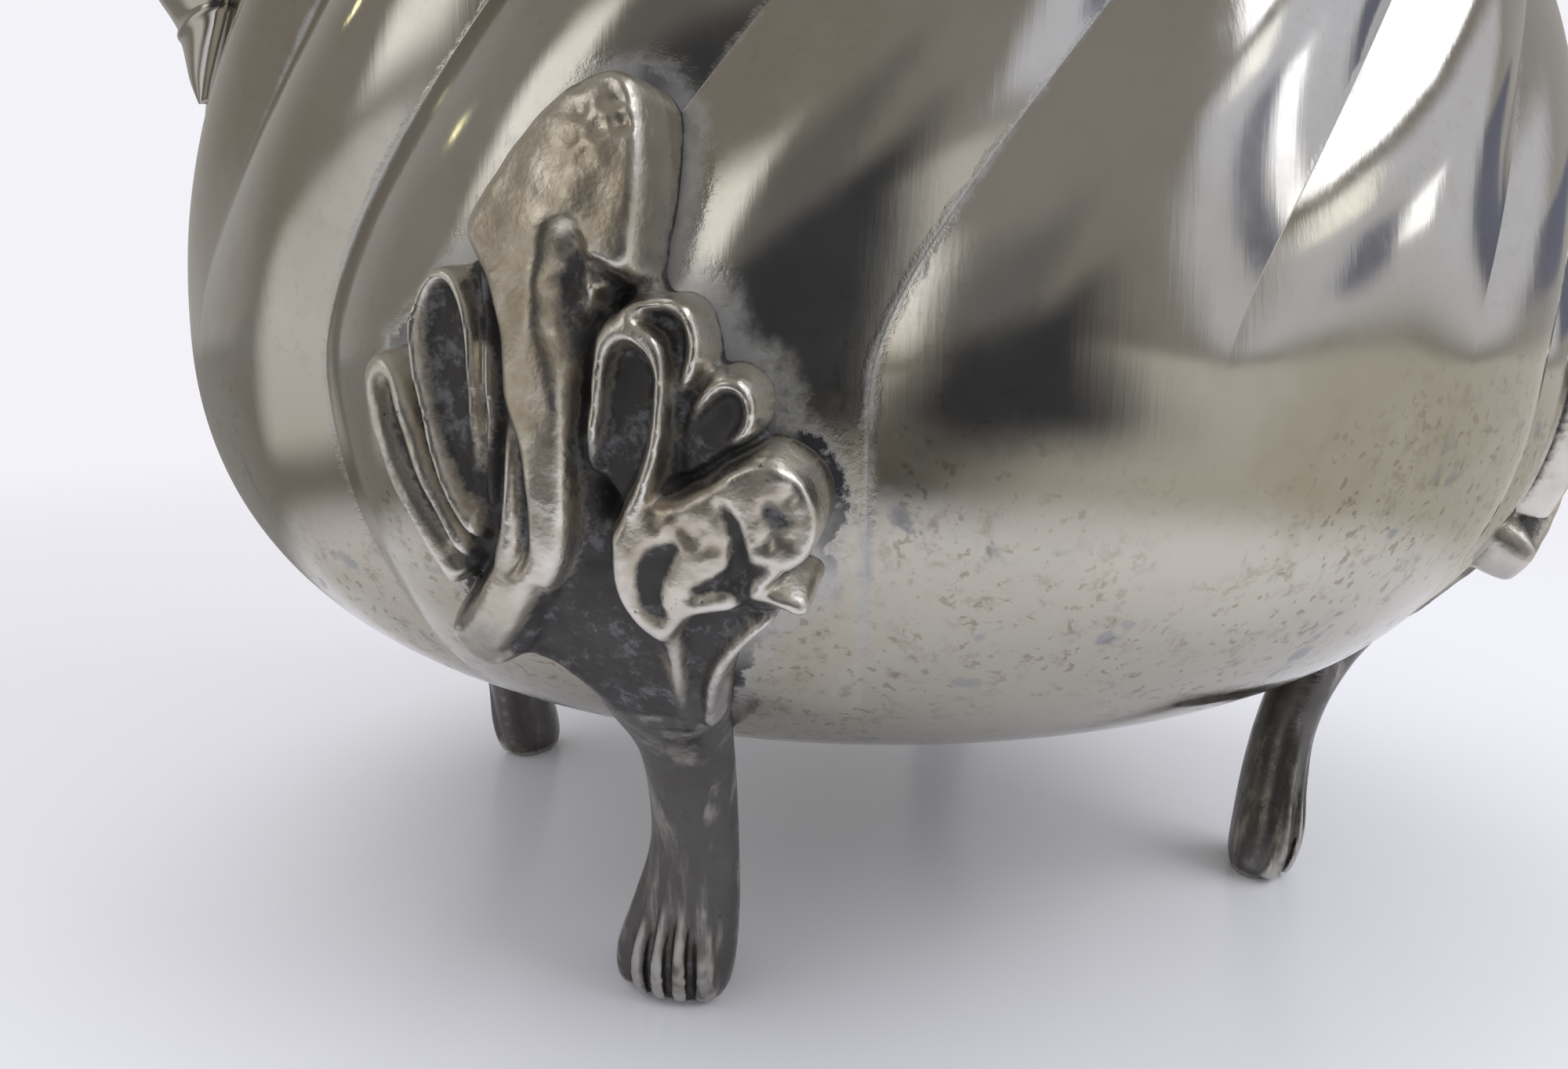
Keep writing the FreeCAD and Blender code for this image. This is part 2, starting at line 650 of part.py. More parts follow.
def build_drop(spout_outside):
    """Pointed drop that ends the spout's root on the belly."""
    top = size("spout_root_height") - 0.75 * size("spout_root_half_height")
    thickness = size("drop_thickness")
    places = []
    for down, width, lift in DROP_STATIONS:
        centre, outward = over_body(SPOUT_HEADING, 0.0, top - down * size("drop_length"), lift * thickness)
        places.append((centre, outward, width * size("drop_half_width")))
    keep(made_shape("spout_drop", tongue(places, thickness).cut([body_envelope, spout_outside])))


# Handle

SOCKET_ENDS = {
    "upper": "(dims.neck_radius + dims.upper_socket_stand)",
    "lower": "(dims.belly_radius + dims.lower_socket_stand)",
}


def build_socket(which):
    """One handle socket: turned about its own axis, drilled for its pin and fitted to the body."""
    end = SOCKET_ENDS[which]
    bore = "dims.tenon_radius + dims.solder_gap"
    body = turned_piece(f"{which}_socket_blank", [
        ("0", "0.5 * dims.neck_radius"),
        ("dims.socket_root_radius", "0.5 * dims.neck_radius"),
        ("dims.socket_root_radius", f"{end} - 2.4 * dims.tenon_length", -1.2),
        ("dims.socket_radius - dims.socket_collar_width", f"{end} - 0.4 * dims.tenon_length"),
        ("dims.socket_radius - dims.socket_collar_width", f"{end} - 0.3 * dims.tenon_length", 0.62),
        ("dims.socket_radius - dims.socket_collar_width", end),
        (bore, end),
        (bore, f"{end} - dims.tenon_length - dims.solder_gap"),
        ("0", f"{end} - dims.tenon_length - dims.solder_gap"),
    ])
    drill = disc(body, f"{which}_socket_drill", "0", f"{end} - dims.tenon_length / 2",
                 "dims.handle_pin_radius + dims.solder_gap")
    raised(body, "PartDesign::Pocket", drill, "4 * dims.socket_root_radius")
    place(body, "0", f"dims.{which}_socket_height", f"90 - dims.{which}_socket_slope")
    socket = doc.addObject("Part::Cut", f"{which}_socket")
    socket.Base = body
    socket.Tool = envelope_item
    socket.Label = f"{which}_socket"
    keep(socket)


def socket_mouth(which):
    """Middle of a socket's mouth and the way it points."""
    slope = math.radians(size(f"{which}_socket_slope"))
    heading = Vector(math.cos(slope), 0, math.sin(slope))
    return Vector(0, 0, size(f"{which}_socket_height")) + heading * worked_out(SOCKET_ENDS[which]), heading


def build_handle_pin(which):
    """Pin through a socket and the grip's end, with rounded ends."""
    half = "(dims.socket_radius + dims.socket_collar_width / 2)"
    radius = "dims.handle_pin_radius"
    body = turned_piece(f"{which}_handle_pin", [
        ("0", f"-{half}"),
        (f"0.6 * {radius}", f"-{half}", 0.75),
        (radius, f"-{half} + 0.4 * {radius}"),
        (radius, f"{half} - 0.4 * {radius}", 0.75),
        (f"0.6 * {radius}", half),
        ("0", half),
    ])
    mouth, heading = socket_mouth(which)
    centre = mouth - heading * (size("tenon_length") / 2)
    body.Placement = Placement(centre, Rotation(Vector(1, 0, 0), 90))
    slope = f"dims.{which}_socket_slope * 1 deg"
    reach = f"({SOCKET_ENDS[which]} - dims.tenon_length / 2)"
    body.setExpression("Placement.Base.x", f"{reach} * cos({slope})")
    body.setExpression("Placement.Base.z", f"dims.{which}_socket_height + {reach} * sin({slope})")
    keep(body)


# Places along the grip's bow between the sockets: (share of its reach past the upper socket, share of its drop).
GRIP_BOW = [(0.36, -0.055), (0.76, 0.02), (1.0, 0.22), (0.985, 0.48), (0.80, 0.72), (0.60, 0.91)]
GRIP_SWELL = (0.0, 0.35, 0.8, 1.0, 1.0, 0.9, 0.6, 0.3, 0.0)


def grip_line():
    """Middle line of the grip, from the upper socket's mouth to the lower one's."""
    upper, upper_heading = socket_mouth("upper")
    lower, lower_heading = socket_mouth("lower")
    bow = size("belly_radius") + size("grip_stand") - upper.x
    points = [upper]
    for out, down in GRIP_BOW:
        points.append(Vector(upper.x + out * bow, 0, upper.z - down * (upper.z - lower.z)))
    points.append(lower)
    line = Part.BSplineCurve()
    line.interpolate(Points=points, InitialTangent=upper_heading * bow, FinalTangent=lower_heading * -bow)
    return line


def build_grip():
    """Wooden grip with a round end in each socket."""
    line = grip_line()
    first, last = line.FirstParameter, line.LastParameter
    end_radius = size("socket_radius") - size("socket_collar_width")
    sideways = Vector(0, 1, 0)
    wires = []
    for i, swell in enumerate(GRIP_SWELL):
        place_on_line = first + (last - first) * i / (len(GRIP_SWELL) - 1)
        across = line.tangent(place_on_line)[0].cross(sideways).normalize()
        depth = end_radius + swell * (size("grip_half_depth") - end_radius)
        width = end_radius + swell * (size("grip_half_width") - end_radius)
        wires.append(oval_wire(line.value(place_on_line), across * depth, sideways * width))
    grip = loft_through(wires)
    tenons, drills = [], []
    for which in ("upper", "lower"):
        mouth, heading = socket_mouth(which)
        overlap = heading * (size("tenon_length") / 2)
        tenons.append(Part.makeCylinder(
            size("tenon_radius"), 1.5 * size("tenon_length"), mouth + overlap, heading * -1))
        middle = mouth - heading * (size("tenon_length") / 2)
        drills.append(Part.makeCylinder(
            size("handle_pin_radius") + size("solder_gap"), 4 * size("tenon_radius"),
            middle - sideways * (2 * size("tenon_radius")), sideways))
    keep(made_shape("handle_grip", grip.multiFuse(tenons).cut(drills)))


# Mouth, hinge and lid

LID_SEAT = "dims.mouth_height + dims.seat_gap"
LID_RIM_TOP = f"{LID_SEAT} + dims.lid_rim_height"
BEZEL_RADIUS = "dims.mouth_radius - dims.body_wall - dims.bezel_gap"
LID_RADIUS = "dims.mouth_radius + dims.lid_rim_width / 2"
HINGE_X = "dims.mouth_radius + dims.rim_width + dims.hinge_clear + dims.knuckle_radius"
HINGE_Z = "dims.mouth_height + dims.seat_gap / 2"
CROWN = f"{LID_RIM_TOP} + dims.lid_height"


def build_mouth_rim():
    inner = "dims.mouth_radius + dims.solder_gap"
    foot, edge = "dims.mouth_height - dims.rim_height", "dims.mouth_height"
    keep(turned_piece("mouth_rim", [
        (inner, foot),
        ("dims.mouth_radius + 0.4 * dims.rim_width", foot),
        ("dims.mouth_radius + 0.4 * dims.rim_width", "dims.mouth_height - 0.6 * dims.rim_height", 0.58),
        ("dims.mouth_radius + 0.75 * dims.rim_width", edge),
        (inner, edge),
    ]))


def block(body, name, low_x, low_y, high_x, high_y):
    """Sketch of an upright rectangle."""
    return outline(body, name, [(low_x, low_y), (high_x, low_y), (high_x, high_y), (low_x, high_y)])


def build_hinge():
    """Barrel of three knuckles: the outer two on the body, the middle one on the lid."""
    pin_hole = "dims.hinge_pin_radius + dims.running_gap"
    middle = "dims.lid_knuckle_length + 2 * dims.knuckle_gap"
    clear = "dims.knuckle_radius + 2 * dims.knuckle_gap"
    body = new_body("hinge_body_leaf")
    barrel = disc(body, "body_barrel", HINGE_X, HINGE_Z, "dims.knuckle_radius")
    raised(body, "PartDesign::Pad", barrel, "dims.hinge_length")
    plate = block(body, "body_plate", "dims.mouth_radius", "dims.mouth_height - dims.rim_height",
                  HINGE_X, "dims.mouth_height - dims.seat_gap")
    raised(body, "PartDesign::Pad", plate, "dims.hinge_length")
    seat = block(body, "body_plate_seat", "0", "dims.mouth_height - 2 * dims.rim_height",
                 "dims.mouth_radius + dims.rim_width + dims.solder_gap", "dims.mouth_height + 2 * dims.rim_height")
    turned(body, "PartDesign::Groove", seat)
    raised(body, "PartDesign::Pocket", disc(body, "lid_knuckle_room", HINGE_X, HINGE_Z, clear), middle)
    bore = disc(body, "body_pin_hole", HINGE_X, HINGE_Z, pin_hole)
    raised(body, "PartDesign::Pocket", bore, "2 * dims.hinge_length")
    keep(body)

    leaf = new_body("hinge_lid_leaf")
    barrel = disc(leaf, "lid_barrel", HINGE_X, HINGE_Z, "dims.knuckle_radius")
    raised(leaf, "PartDesign::Pad", barrel, "dims.lid_knuckle_length")
    strap = block(leaf, "lid_strap", "dims.mouth_radius", f"{LID_SEAT} + dims.seat_gap", HINGE_X, LID_RIM_TOP)
    raised(leaf, "PartDesign::Pad", strap, "dims.lid_knuckle_length")
    seat = block(leaf, "lid_strap_seat", "0", "dims.mouth_height - 2 * dims.rim_height",
                 "dims.mouth_radius + 0.75 * dims.lid_rim_width", "dims.mouth_height + 2 * dims.rim_height")
    turned(leaf, "PartDesign::Groove", seat)
    bore = disc(leaf, "lid_pin_hole", HINGE_X, HINGE_Z, pin_hole)
    raised(leaf, "PartDesign::Pocket", bore, "2 * dims.hinge_length")
    keep(leaf)

    half = "(dims.hinge_length / 2 + dims.knuckle_gap / 2)"
    pin = turned_piece("hinge_pin", [
        ("0", f"-{half} - dims.hinge_head_length"),
        ("dims.hinge_head_radius", f"-{half} - dims.hinge_head_length"),
        ("dims.hinge_head_radius", f"-{half}"),
        ("dims.hinge_pin_radius", f"-{half}"),
        ("dims.hinge_pin_radius", half),
        ("dims.hinge_head_radius", half),
        ("dims.hinge_head_radius", f"{half} + dims.hinge_head_length"),
        ("0", f"{half} + dims.hinge_head_length"),
    ])
    pin.Placement = Placement(Vector(), Rotation(Vector(1, 0, 0), 90))
    pin.setExpression("Placement.Base.x", HINGE_X)
    pin.setExpression("Placement.Base.z", HINGE_Z)
    keep(pin)


LID_ROWS = 12
LID_SHAPE_POWER = 1.15
CROWN_ROWS = (0.35, 0.7, 1.0)


def lid_rows():
    """Outline of the lid's bell over its crests, from its edge to the screw hole in its crown."""
    edge, seat = worked_out(LID_RADIUS), size("finial_seat_radius")
    foot = worked_out(LID_RIM_TOP) + size("lid_wall")
    rise = worked_out(CROWN) - foot
    rows = []
    for i in range(LID_ROWS + 1):
        radius = edge + (seat - edge) * i / LID_ROWS
        share = ((radius - seat) / (edge - seat)) ** LID_SHAPE_POWER
        rows.append((radius, foot + rise * 0.5 * (1 + math.cos(math.pi * share))))
    hole = size("finial_screw_radius") + size("solder_gap")
    for share in CROWN_ROWS:
        rows.append((seat + (hole - seat) * share, rows[LID_ROWS][1]))
    return rows


def lid_columns(rows, edge_row):
    """Control points over the lid's rows, fluted between a plain edge and a plain crown."""
    count = int(size("flute_count"))
    edge, seat = edge_row[0], size("finial_seat_radius")
    columns = []
    for crease in range(count):
        for phase in COLUMN_PHASES:
            column = []
            for radius, z in rows:
                inward = min(max((edge - radius) / (edge - seat), 0.0), 1.0)
                dip = size("lid_flute_depth") * math.sin(math.pi * inward) ** 2 * (1 - math.sin(math.pi * phase))
                angle = 2 * math.pi * (crease + phase) / count + math.radians(size("lid_turn")) * inward
                column.append(Vector(radius * math.cos(angle), radius * math.sin(angle), z - dip))
            columns.append(column)
    return columns


def build_lid():
    rows = lid_rows()
    inner = inset_rows(rows, size("lid_wall"), (0, 1), (0, 1))
    dome = tube_solid(spline_face(lid_columns(rows, rows[0])), spline_face(lid_columns(inner, rows[0])))
    keep(made_shape("lid_dome", dome))
    keep(turned_piece("lid_rim", [
        (f"{BEZEL_RADIUS} + dims.solder_gap", LID_SEAT),
        (LID_RADIUS, LID_SEAT, 0.62),
        (LID_RADIUS, LID_RIM_TOP),
        (f"{BEZEL_RADIUS} + dims.solder_gap", LID_RIM_TOP),
    ]))
    keep(turned_piece("lid_bezel", [
        (f"{BEZEL_RADIUS} - dims.bezel_wall", "dims.mouth_height - dims.bezel_depth"),
        (BEZEL_RADIUS, "dims.mouth_height - dims.bezel_depth"),
        (BEZEL_RADIUS, LID_RIM_TOP),
        (f"{BEZEL_RADIUS} - dims.bezel_wall", LID_RIM_TOP),
    ]))


# Finial

BUD_OUTLINE = [(0.5, 0.0), (0.86, 0.1), (1.0, 0.28), (0.95, 0.48), (0.72, 0.68), (0.44, 0.84), (0.24, 0.94),
               (0.1, 1.0)]
BUD_PETALS = 8
BUD_TURN = 40.0


def build_bud():
    """Bud of overlapping petals, drilled for the screw."""
    foot = worked_out(CROWN) + size("calyx_height")
    crease, height = size("bud_crease_depth"), size("bud_height")
    columns = []
    for petal in range(BUD_PETALS):
        for phase in COLUMN_PHASES:
            column = []
            for wide, up in BUD_OUTLINE:
                radius = wide * (size("bud_radius") - crease * (1 - math.sin(math.pi * phase)))
                angle = 2 * math.pi * (petal + phase) / BUD_PETALS + math.radians(BUD_TURN) * up
                column.append(Vector(radius * math.cos(angle), radius * math.sin(angle), foot + up * height))
            columns.append(column)
    bore_radius = size("finial_screw_radius") + size("solder_gap")
    bore = Part.makeCylinder(bore_radius, size("bud_bore_depth"), Vector(0, 0, foot))
    keep(made_shape("finial_bud", filled_solid(spline_face(columns)).cut(bore)))


def build_finial():
    bore = "dims.finial_screw_radius + dims.solder_gap"
    keep(turned_piece("finial_calyx", [
        (bore, CROWN),
        ("0.75 * dims.calyx_radius", CROWN),
        ("0.75 * dims.calyx_radius", f"{CROWN} + 0.1 * dims.calyx_height", -0.75),
        ("dims.calyx_waist_radius", f"{CROWN} + 0.45 * dims.calyx_height", -0.9),
        ("dims.calyx_radius", f"{CROWN} + 0.9 * dims.calyx_height", 0.6),
        ("0.9 * dims.calyx_radius", f"{CROWN} + dims.calyx_height"),
        (bore, f"{CROWN} + dims.calyx_height"),
    ]))
    build_bud()
    underside = f"{CROWN} - dims.lid_wall"
    washer_foot = f"{underside} - dims.washer_thickness"
    nut_foot = f"{washer_foot} - dims.nut_height"
    keep(turned_piece("finial_washer", [
        (bore, washer_foot),
        ("dims.washer_radius", washer_foot),
        ("dims.washer_radius", underside),
        (bore, underside),
    ]))
    screw_end = f"{nut_foot} - dims.finial_screw_radius"
    screw_top = f"{CROWN} + dims.calyx_height + dims.bud_bore_depth - dims.finial_screw_radius"
    keep(turned_piece("finial_screw", [
        ("0", screw_end),
        ("0.7 * dims.finial_screw_radius", screw_end),
        ("dims.finial_screw_radius", f"{screw_end} + 0.3 * dims.finial_screw_radius"),
        ("dims.finial_screw_radius", f"{screw_top} - 0.3 * dims.finial_screw_radius"),
        ("0.7 * dims.finial_screw_radius", screw_top),
        ("0", screw_top),
    ]))
    nut = new_body("finial_nut")
    corners = []
    for i in range(6):
        turn = math.radians(60 * i)
        corner = "dims.nut_half_width / cos(30 deg)"
        corners.append((f"{math.cos(turn):.6f} * {corner}", f"{math.sin(turn):.6f} * {corner}"))
    raised(nut, "PartDesign::Pad", outline(nut, "nut_outline", corners, "XY_Plane"), "dims.nut_height", False)
    raised(nut, "PartDesign::Pocket", disc(nut, "nut_hole", "0", "0", bore, "XY_Plane"), "4 * dims.nut_height")
    place(nut, "0", nut_foot)
    keep(nut)


envelope_item = made_shape("body_envelope", body_envelope)
build_body()
build_feet()
build_spout()
for which in ("upper", "lower"):
    build_socket(which)
    build_handle_pin(which)
build_grip()
build_mouth_rim()
build_hinge()
build_lid()
build_finial()

# Writing

doc.recompute()
for item in doc.Objects:
    if "Invalid" in item.State or "Error" in item.State:
        raise RuntimeError(f"{item.Label} did not build: {item.State}")
for item in subparts:
    if item.Shape.isNull() or not item.Shape.isValid():
        raise RuntimeError(f"{item.Label} has no valid shape")
os.makedirs("parts", exist_ok=True)
for item in subparts:
    item.Shape.exportStep(f"parts/{item.Label}.step")
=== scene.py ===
"""Looks of the silver coffee pot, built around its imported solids.

Lengths are millimetres in the pot's own frame until a mesh is made, which is in metres.
"""

import json
import logging
import math
from dataclasses import dataclass, field
from enum import Enum

import bpy
import numpy as np
from mathutils import Matrix, Vector


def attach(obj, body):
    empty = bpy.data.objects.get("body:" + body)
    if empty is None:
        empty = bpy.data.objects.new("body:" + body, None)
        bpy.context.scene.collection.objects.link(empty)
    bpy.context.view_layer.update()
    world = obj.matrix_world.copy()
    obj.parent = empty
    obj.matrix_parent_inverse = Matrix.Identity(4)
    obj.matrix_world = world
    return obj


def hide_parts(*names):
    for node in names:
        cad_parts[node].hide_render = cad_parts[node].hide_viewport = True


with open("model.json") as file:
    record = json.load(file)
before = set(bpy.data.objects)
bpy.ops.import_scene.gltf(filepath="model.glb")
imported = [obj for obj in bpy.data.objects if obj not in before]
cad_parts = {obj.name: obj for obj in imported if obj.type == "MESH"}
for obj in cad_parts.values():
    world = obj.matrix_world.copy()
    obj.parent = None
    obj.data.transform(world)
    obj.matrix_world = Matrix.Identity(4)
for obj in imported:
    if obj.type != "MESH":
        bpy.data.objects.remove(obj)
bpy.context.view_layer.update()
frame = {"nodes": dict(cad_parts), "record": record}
LOG = logging.getLogger("coffee_pot")
MM = 0.001
Array = np.ndarray
Socket = bpy.types.NodeSocket
Material = bpy.types.Material
Triple = tuple[float, float, float]
Colour = Triple
Span = tuple[float, float]
Outline = list[tuple[float, float]]
Stroke = list[Triple]
Faces = list[tuple[int, ...]]


class Body(Enum):
    """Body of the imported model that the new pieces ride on."""

    POT = "pot"


class Slot(Enum):
    """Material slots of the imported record."""

    SILVER = "silver"
    CAST = "cast_silver"
    FITTINGS = "fittings"
    WOOD = "wood"


# Small helpers for curves and meshes


def eased(low: float, high: float, value: Array | float) -> Array:
    """Smooth rise from 0 at low to 1 at high.

    Args:
        low: Value where the rise starts.
        high: Value where it ends.
        value: One value or an array of them.

    Returns:
        Shares from 0 to 1.
    """
    share = np.clip((np.asarray(value, float) - low) / (high - low), 0.0, 1.0)
    return share * share * (3.0 - 2.0 * share)


def smooth_line(points: list[tuple[float, ...]], per_span: int = 8, closed: bool = False) -> Array:
    """Points along a smooth curve through the given ones.

    Args:
        points: Points of any number of coordinates.
        per_span: Steps between two given points.
        closed: Whether the curve runs back to its start.

    Returns:
        Array of points, one row each.
    """
    given = np.array(points, float)
    if closed:
        padded = np.vstack([given[-1:], given, given[:2]])
    else:
        padded = np.vstack([2 * given[0] - given[1], given, 2 * given[-1] - given[-2]])
    share = np.linspace(0, 1, per_span, endpoint=False)[:, None]
    pieces = []
    for i in range(len(padded) - 3):
        before, start, end, after = padded[i:i + 4]
        bend = 2 * before - 5 * start + 4 * end - after
        twist = 3 * (start - end) + after - before
        pieces.append(start + 0.5 * share * (end - before + share * (bend + share * twist)))
    if not closed:
        pieces.append(given[-1:])
    return np.vstack(pieces)


def grid_faces(rows: int, columns: int, start: int = 0) -> Faces:
    """Quads between rings of points that are listed ring by ring.

    Args:
        rows: Number of rings.
        columns: Number of points in a ring.
        start: Index of the first point.

    Returns:
        Faces as tuples of point indices.
    """
    faces = []
    for row in range(rows - 1):
        low, high = start + row * columns, start + (row + 1) * columns
        for column in range(columns):
            following = (column + 1) % columns
            faces.append((low + column, low + following, high + following, high + column))
    return faces


def around_axis(radius: Array, angle: Array, z: Array) -> Array:
    """Points by their distance from the pot's axis, heading in radians and height."""
    return np.stack(np.broadcast_arrays(radius * np.cos(angle), radius * np.sin(angle), z), axis=-1)


def add_piece(
    name: str, points: Array, faces: Faces, body: Body, material: Material
) -> bpy.types.Object:
    """Make a smooth mesh piece that rides on a body.

    Args:
        name: Name of the piece.
        points: Its points in millimetres.
        faces: Its faces.
        body: The body it moves with.
        material: Its material.

    Returns:
        The new object.
    """
    mesh = bpy.data.meshes.new(name)
    mesh.from_pydata((np.asarray(points) * MM).tolist(), [], faces)
    mesh.validate()
    mesh.polygons.foreach_set("use_smooth", [True] * len(mesh.polygons))
    mesh.materials.append(material)
    piece = bpy.data.objects.new(name, mesh)
    bpy.context.scene.collection.objects.link(piece)
    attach(piece, body.value)
    LOG.info("%s: %d points", name, len(mesh.vertices))
    return piece


def add_shade(piece: bpy.types.Object, name: str, values: Array) -> None:
    """Store one number for each point of a piece, for its material to read.

    Args:
        piece: The mesh piece.
        name: Name of the attribute.
        values: One value for each point.
    """
    attribute = piece.data.attributes.new(name, "FLOAT", "POINT")
    attribute.data.foreach_set("value", np.asarray(values, np.float32))


# Finishes


class Nodes:
    """Short way to add nodes to one tree and join them."""

    def __init__(self, tree: bpy.types.NodeTree) -> None:
        """Start from an empty tree."""
        self.tree = tree
        tree.nodes.clear()

    def feed(self, socket: Socket, value: object) -> None:
        """Link a socket into another one, or set its value.

        Args:
            socket: The input socket.
            value: An output socket to link, or a plain value.
        """
        if isinstance(value, Socket):
            self.tree.links.new(value, socket)
        elif isinstance(value, tuple) and len(value) == 3 and socket.type == "RGBA":
            socket.default_value = (*value, 1.0)
        else:
            socket.default_value = value

    def add(
        self, kind: str, inputs: dict[str | int, object] | None = None, **settings: object
    ) -> bpy.types.Node:
        """Add one node.

        Args:
            kind: The node's type name.
            inputs: Values or sockets for its inputs, by name or index.
            settings: Its other properties.

        Returns:
            The node.
        """
        node = self.tree.nodes.new(kind)
        for name, value in settings.items():
            setattr(node, name, value)
        for key, value in (inputs or {}).items():
            self.feed(node.inputs[key], value)
        return node

    def place(self) -> Socket:
        """Point on the surface in the pot's frame, in metres."""
        return self.add("ShaderNodeTexCoord").outputs["Object"]

    def shade(self, name: str) -> Socket:
        """Number that the mesh stores under a name."""
        return self.add("ShaderNodeAttribute", attribute_name=name).outputs["Fac"]

    def noise(
        self, scale: float, detail: float = 3.0, rough: float = 0.5, place: object = None, warp: float = 0.0
    ) -> Socket:
        """Soft noise about 0.5.

        Args:
            scale: Waves per metre.
            detail: Number of finer layers.
            rough: Weight of the finer layers.
            place: Socket with the point to read, or None for the pot's frame.
            warp: How much the noise is bent by itself.

        Returns:
            Socket with the noise.
        """
        inputs = {"Vector": place or self.place(), "Scale": scale, "Detail": detail, "Roughness": rough,
                  "Distortion": warp}
        return self.add("ShaderNodeTexNoise", inputs).outputs["Fac"]

    def ramp(self, value: object, low: float, high: float, start: float = 0.0, end: float = 1.0) -> Socket:
        """Smooth change from start to end while the value goes from low to high.

        Args:
            value: Socket to read.
            low: Value where the change starts.
            high: Value where it ends.
            start: Result below low.
            end: Result above high.

        Returns:
            Socket with the result.
        """
        inputs = {"Value": value, "From Min": low, "From Max": high, "To Min": start, "To Max": end}
        return self.add("ShaderNodeMapRange", inputs, interpolation_type="SMOOTHSTEP").outputs["Result"]

    def chain(self, operation: str, *values: object) -> Socket:
        """Arithmetic over values from left to right.

        Args:
            operation: Name of the step, such as ADD or MULTIPLY.
            values: Sockets or numbers.

        Returns:
            Socket with the result.
        """
        result = values[0]
        for value in values[1:]:
            result = self.add("ShaderNodeMath", {0: result, 1: value}, operation=operation).outputs[0]
        return result

    def total(self, *values: object) -> Socket:
        """Sum of the values."""
        return self.chain("ADD", *values)

    def product(self, *values: object) -> Socket:
        """Product of the values."""
        return self.chain("MULTIPLY", *values)

    def highest(self, *values: object) -> Socket:
        """Largest of the values."""
        return self.chain("MAXIMUM", *values)

    def vector(self, operation: str, *values: object) -> bpy.types.Node:
        """Node with one step of vector arithmetic."""
        return self.add("ShaderNodeVectorMath", dict(enumerate(values)), operation=operation)

    def dot(self, direction: Socket, axis: Vector) -> Socket:
        """Length of a direction along an axis."""
        return self.vector("DOT_PRODUCT", direction, tuple(axis)).outputs["Value"]

    def stretched(self, place: Socket, scale: Triple, turn: Triple = (0.0, 0.0, 0.0)) -> Socket:
        """Place on a turned and scaled grid."""
        return self.add("ShaderNodeMapping", {"Vector": place, "Scale": scale, "Rotation": turn}).outputs[0]

    def mix(self, share: object, first: object, second: object) -> Socket:
        """Colour between two colours.

        Args:
            share: Socket or number: 0 gives the first colour, 1 the second.
            first: Socket or colour.
            second: Socket or colour.

        Returns:
            Socket with the colour.
        """
        return self.add("ShaderNodeMix", {0: share, 6: first, 7: second}, data_type="RGBA").outputs[2]

    def bump(self, height: object, depth: float, normal: object = None) -> Socket:
        """Normal of a surface with fine relief.

        Args:
            height: Socket with the relief.
            depth: Its depth in metres.
            normal: Socket with a normal to start from, or None.

        Returns:
            Socket with the normal.
        """
        inputs = {"Height": height, "Distance": depth}
        if normal is not None:
            inputs["Normal"] = normal
        return self.add("ShaderNodeBump", inputs).outputs["Normal"]


def new_material(name: str) -> tuple[Material, Nodes, bpy.types.Node]:
    """Make a material with one glossy shader.

    Args:
        name: Name of the material.

    Returns:
        The material, its nodes and its shader node.
    """
    material = bpy.data.materials.new(name)
    material.use_nodes = True
    nodes = Nodes(material.node_tree)
    shader = nodes.add("ShaderNodeBsdfPrincipled")
    nodes.add("ShaderNodeOutputMaterial", {"Surface": shader.outputs["BSDF"]})
    return material, nodes, shader


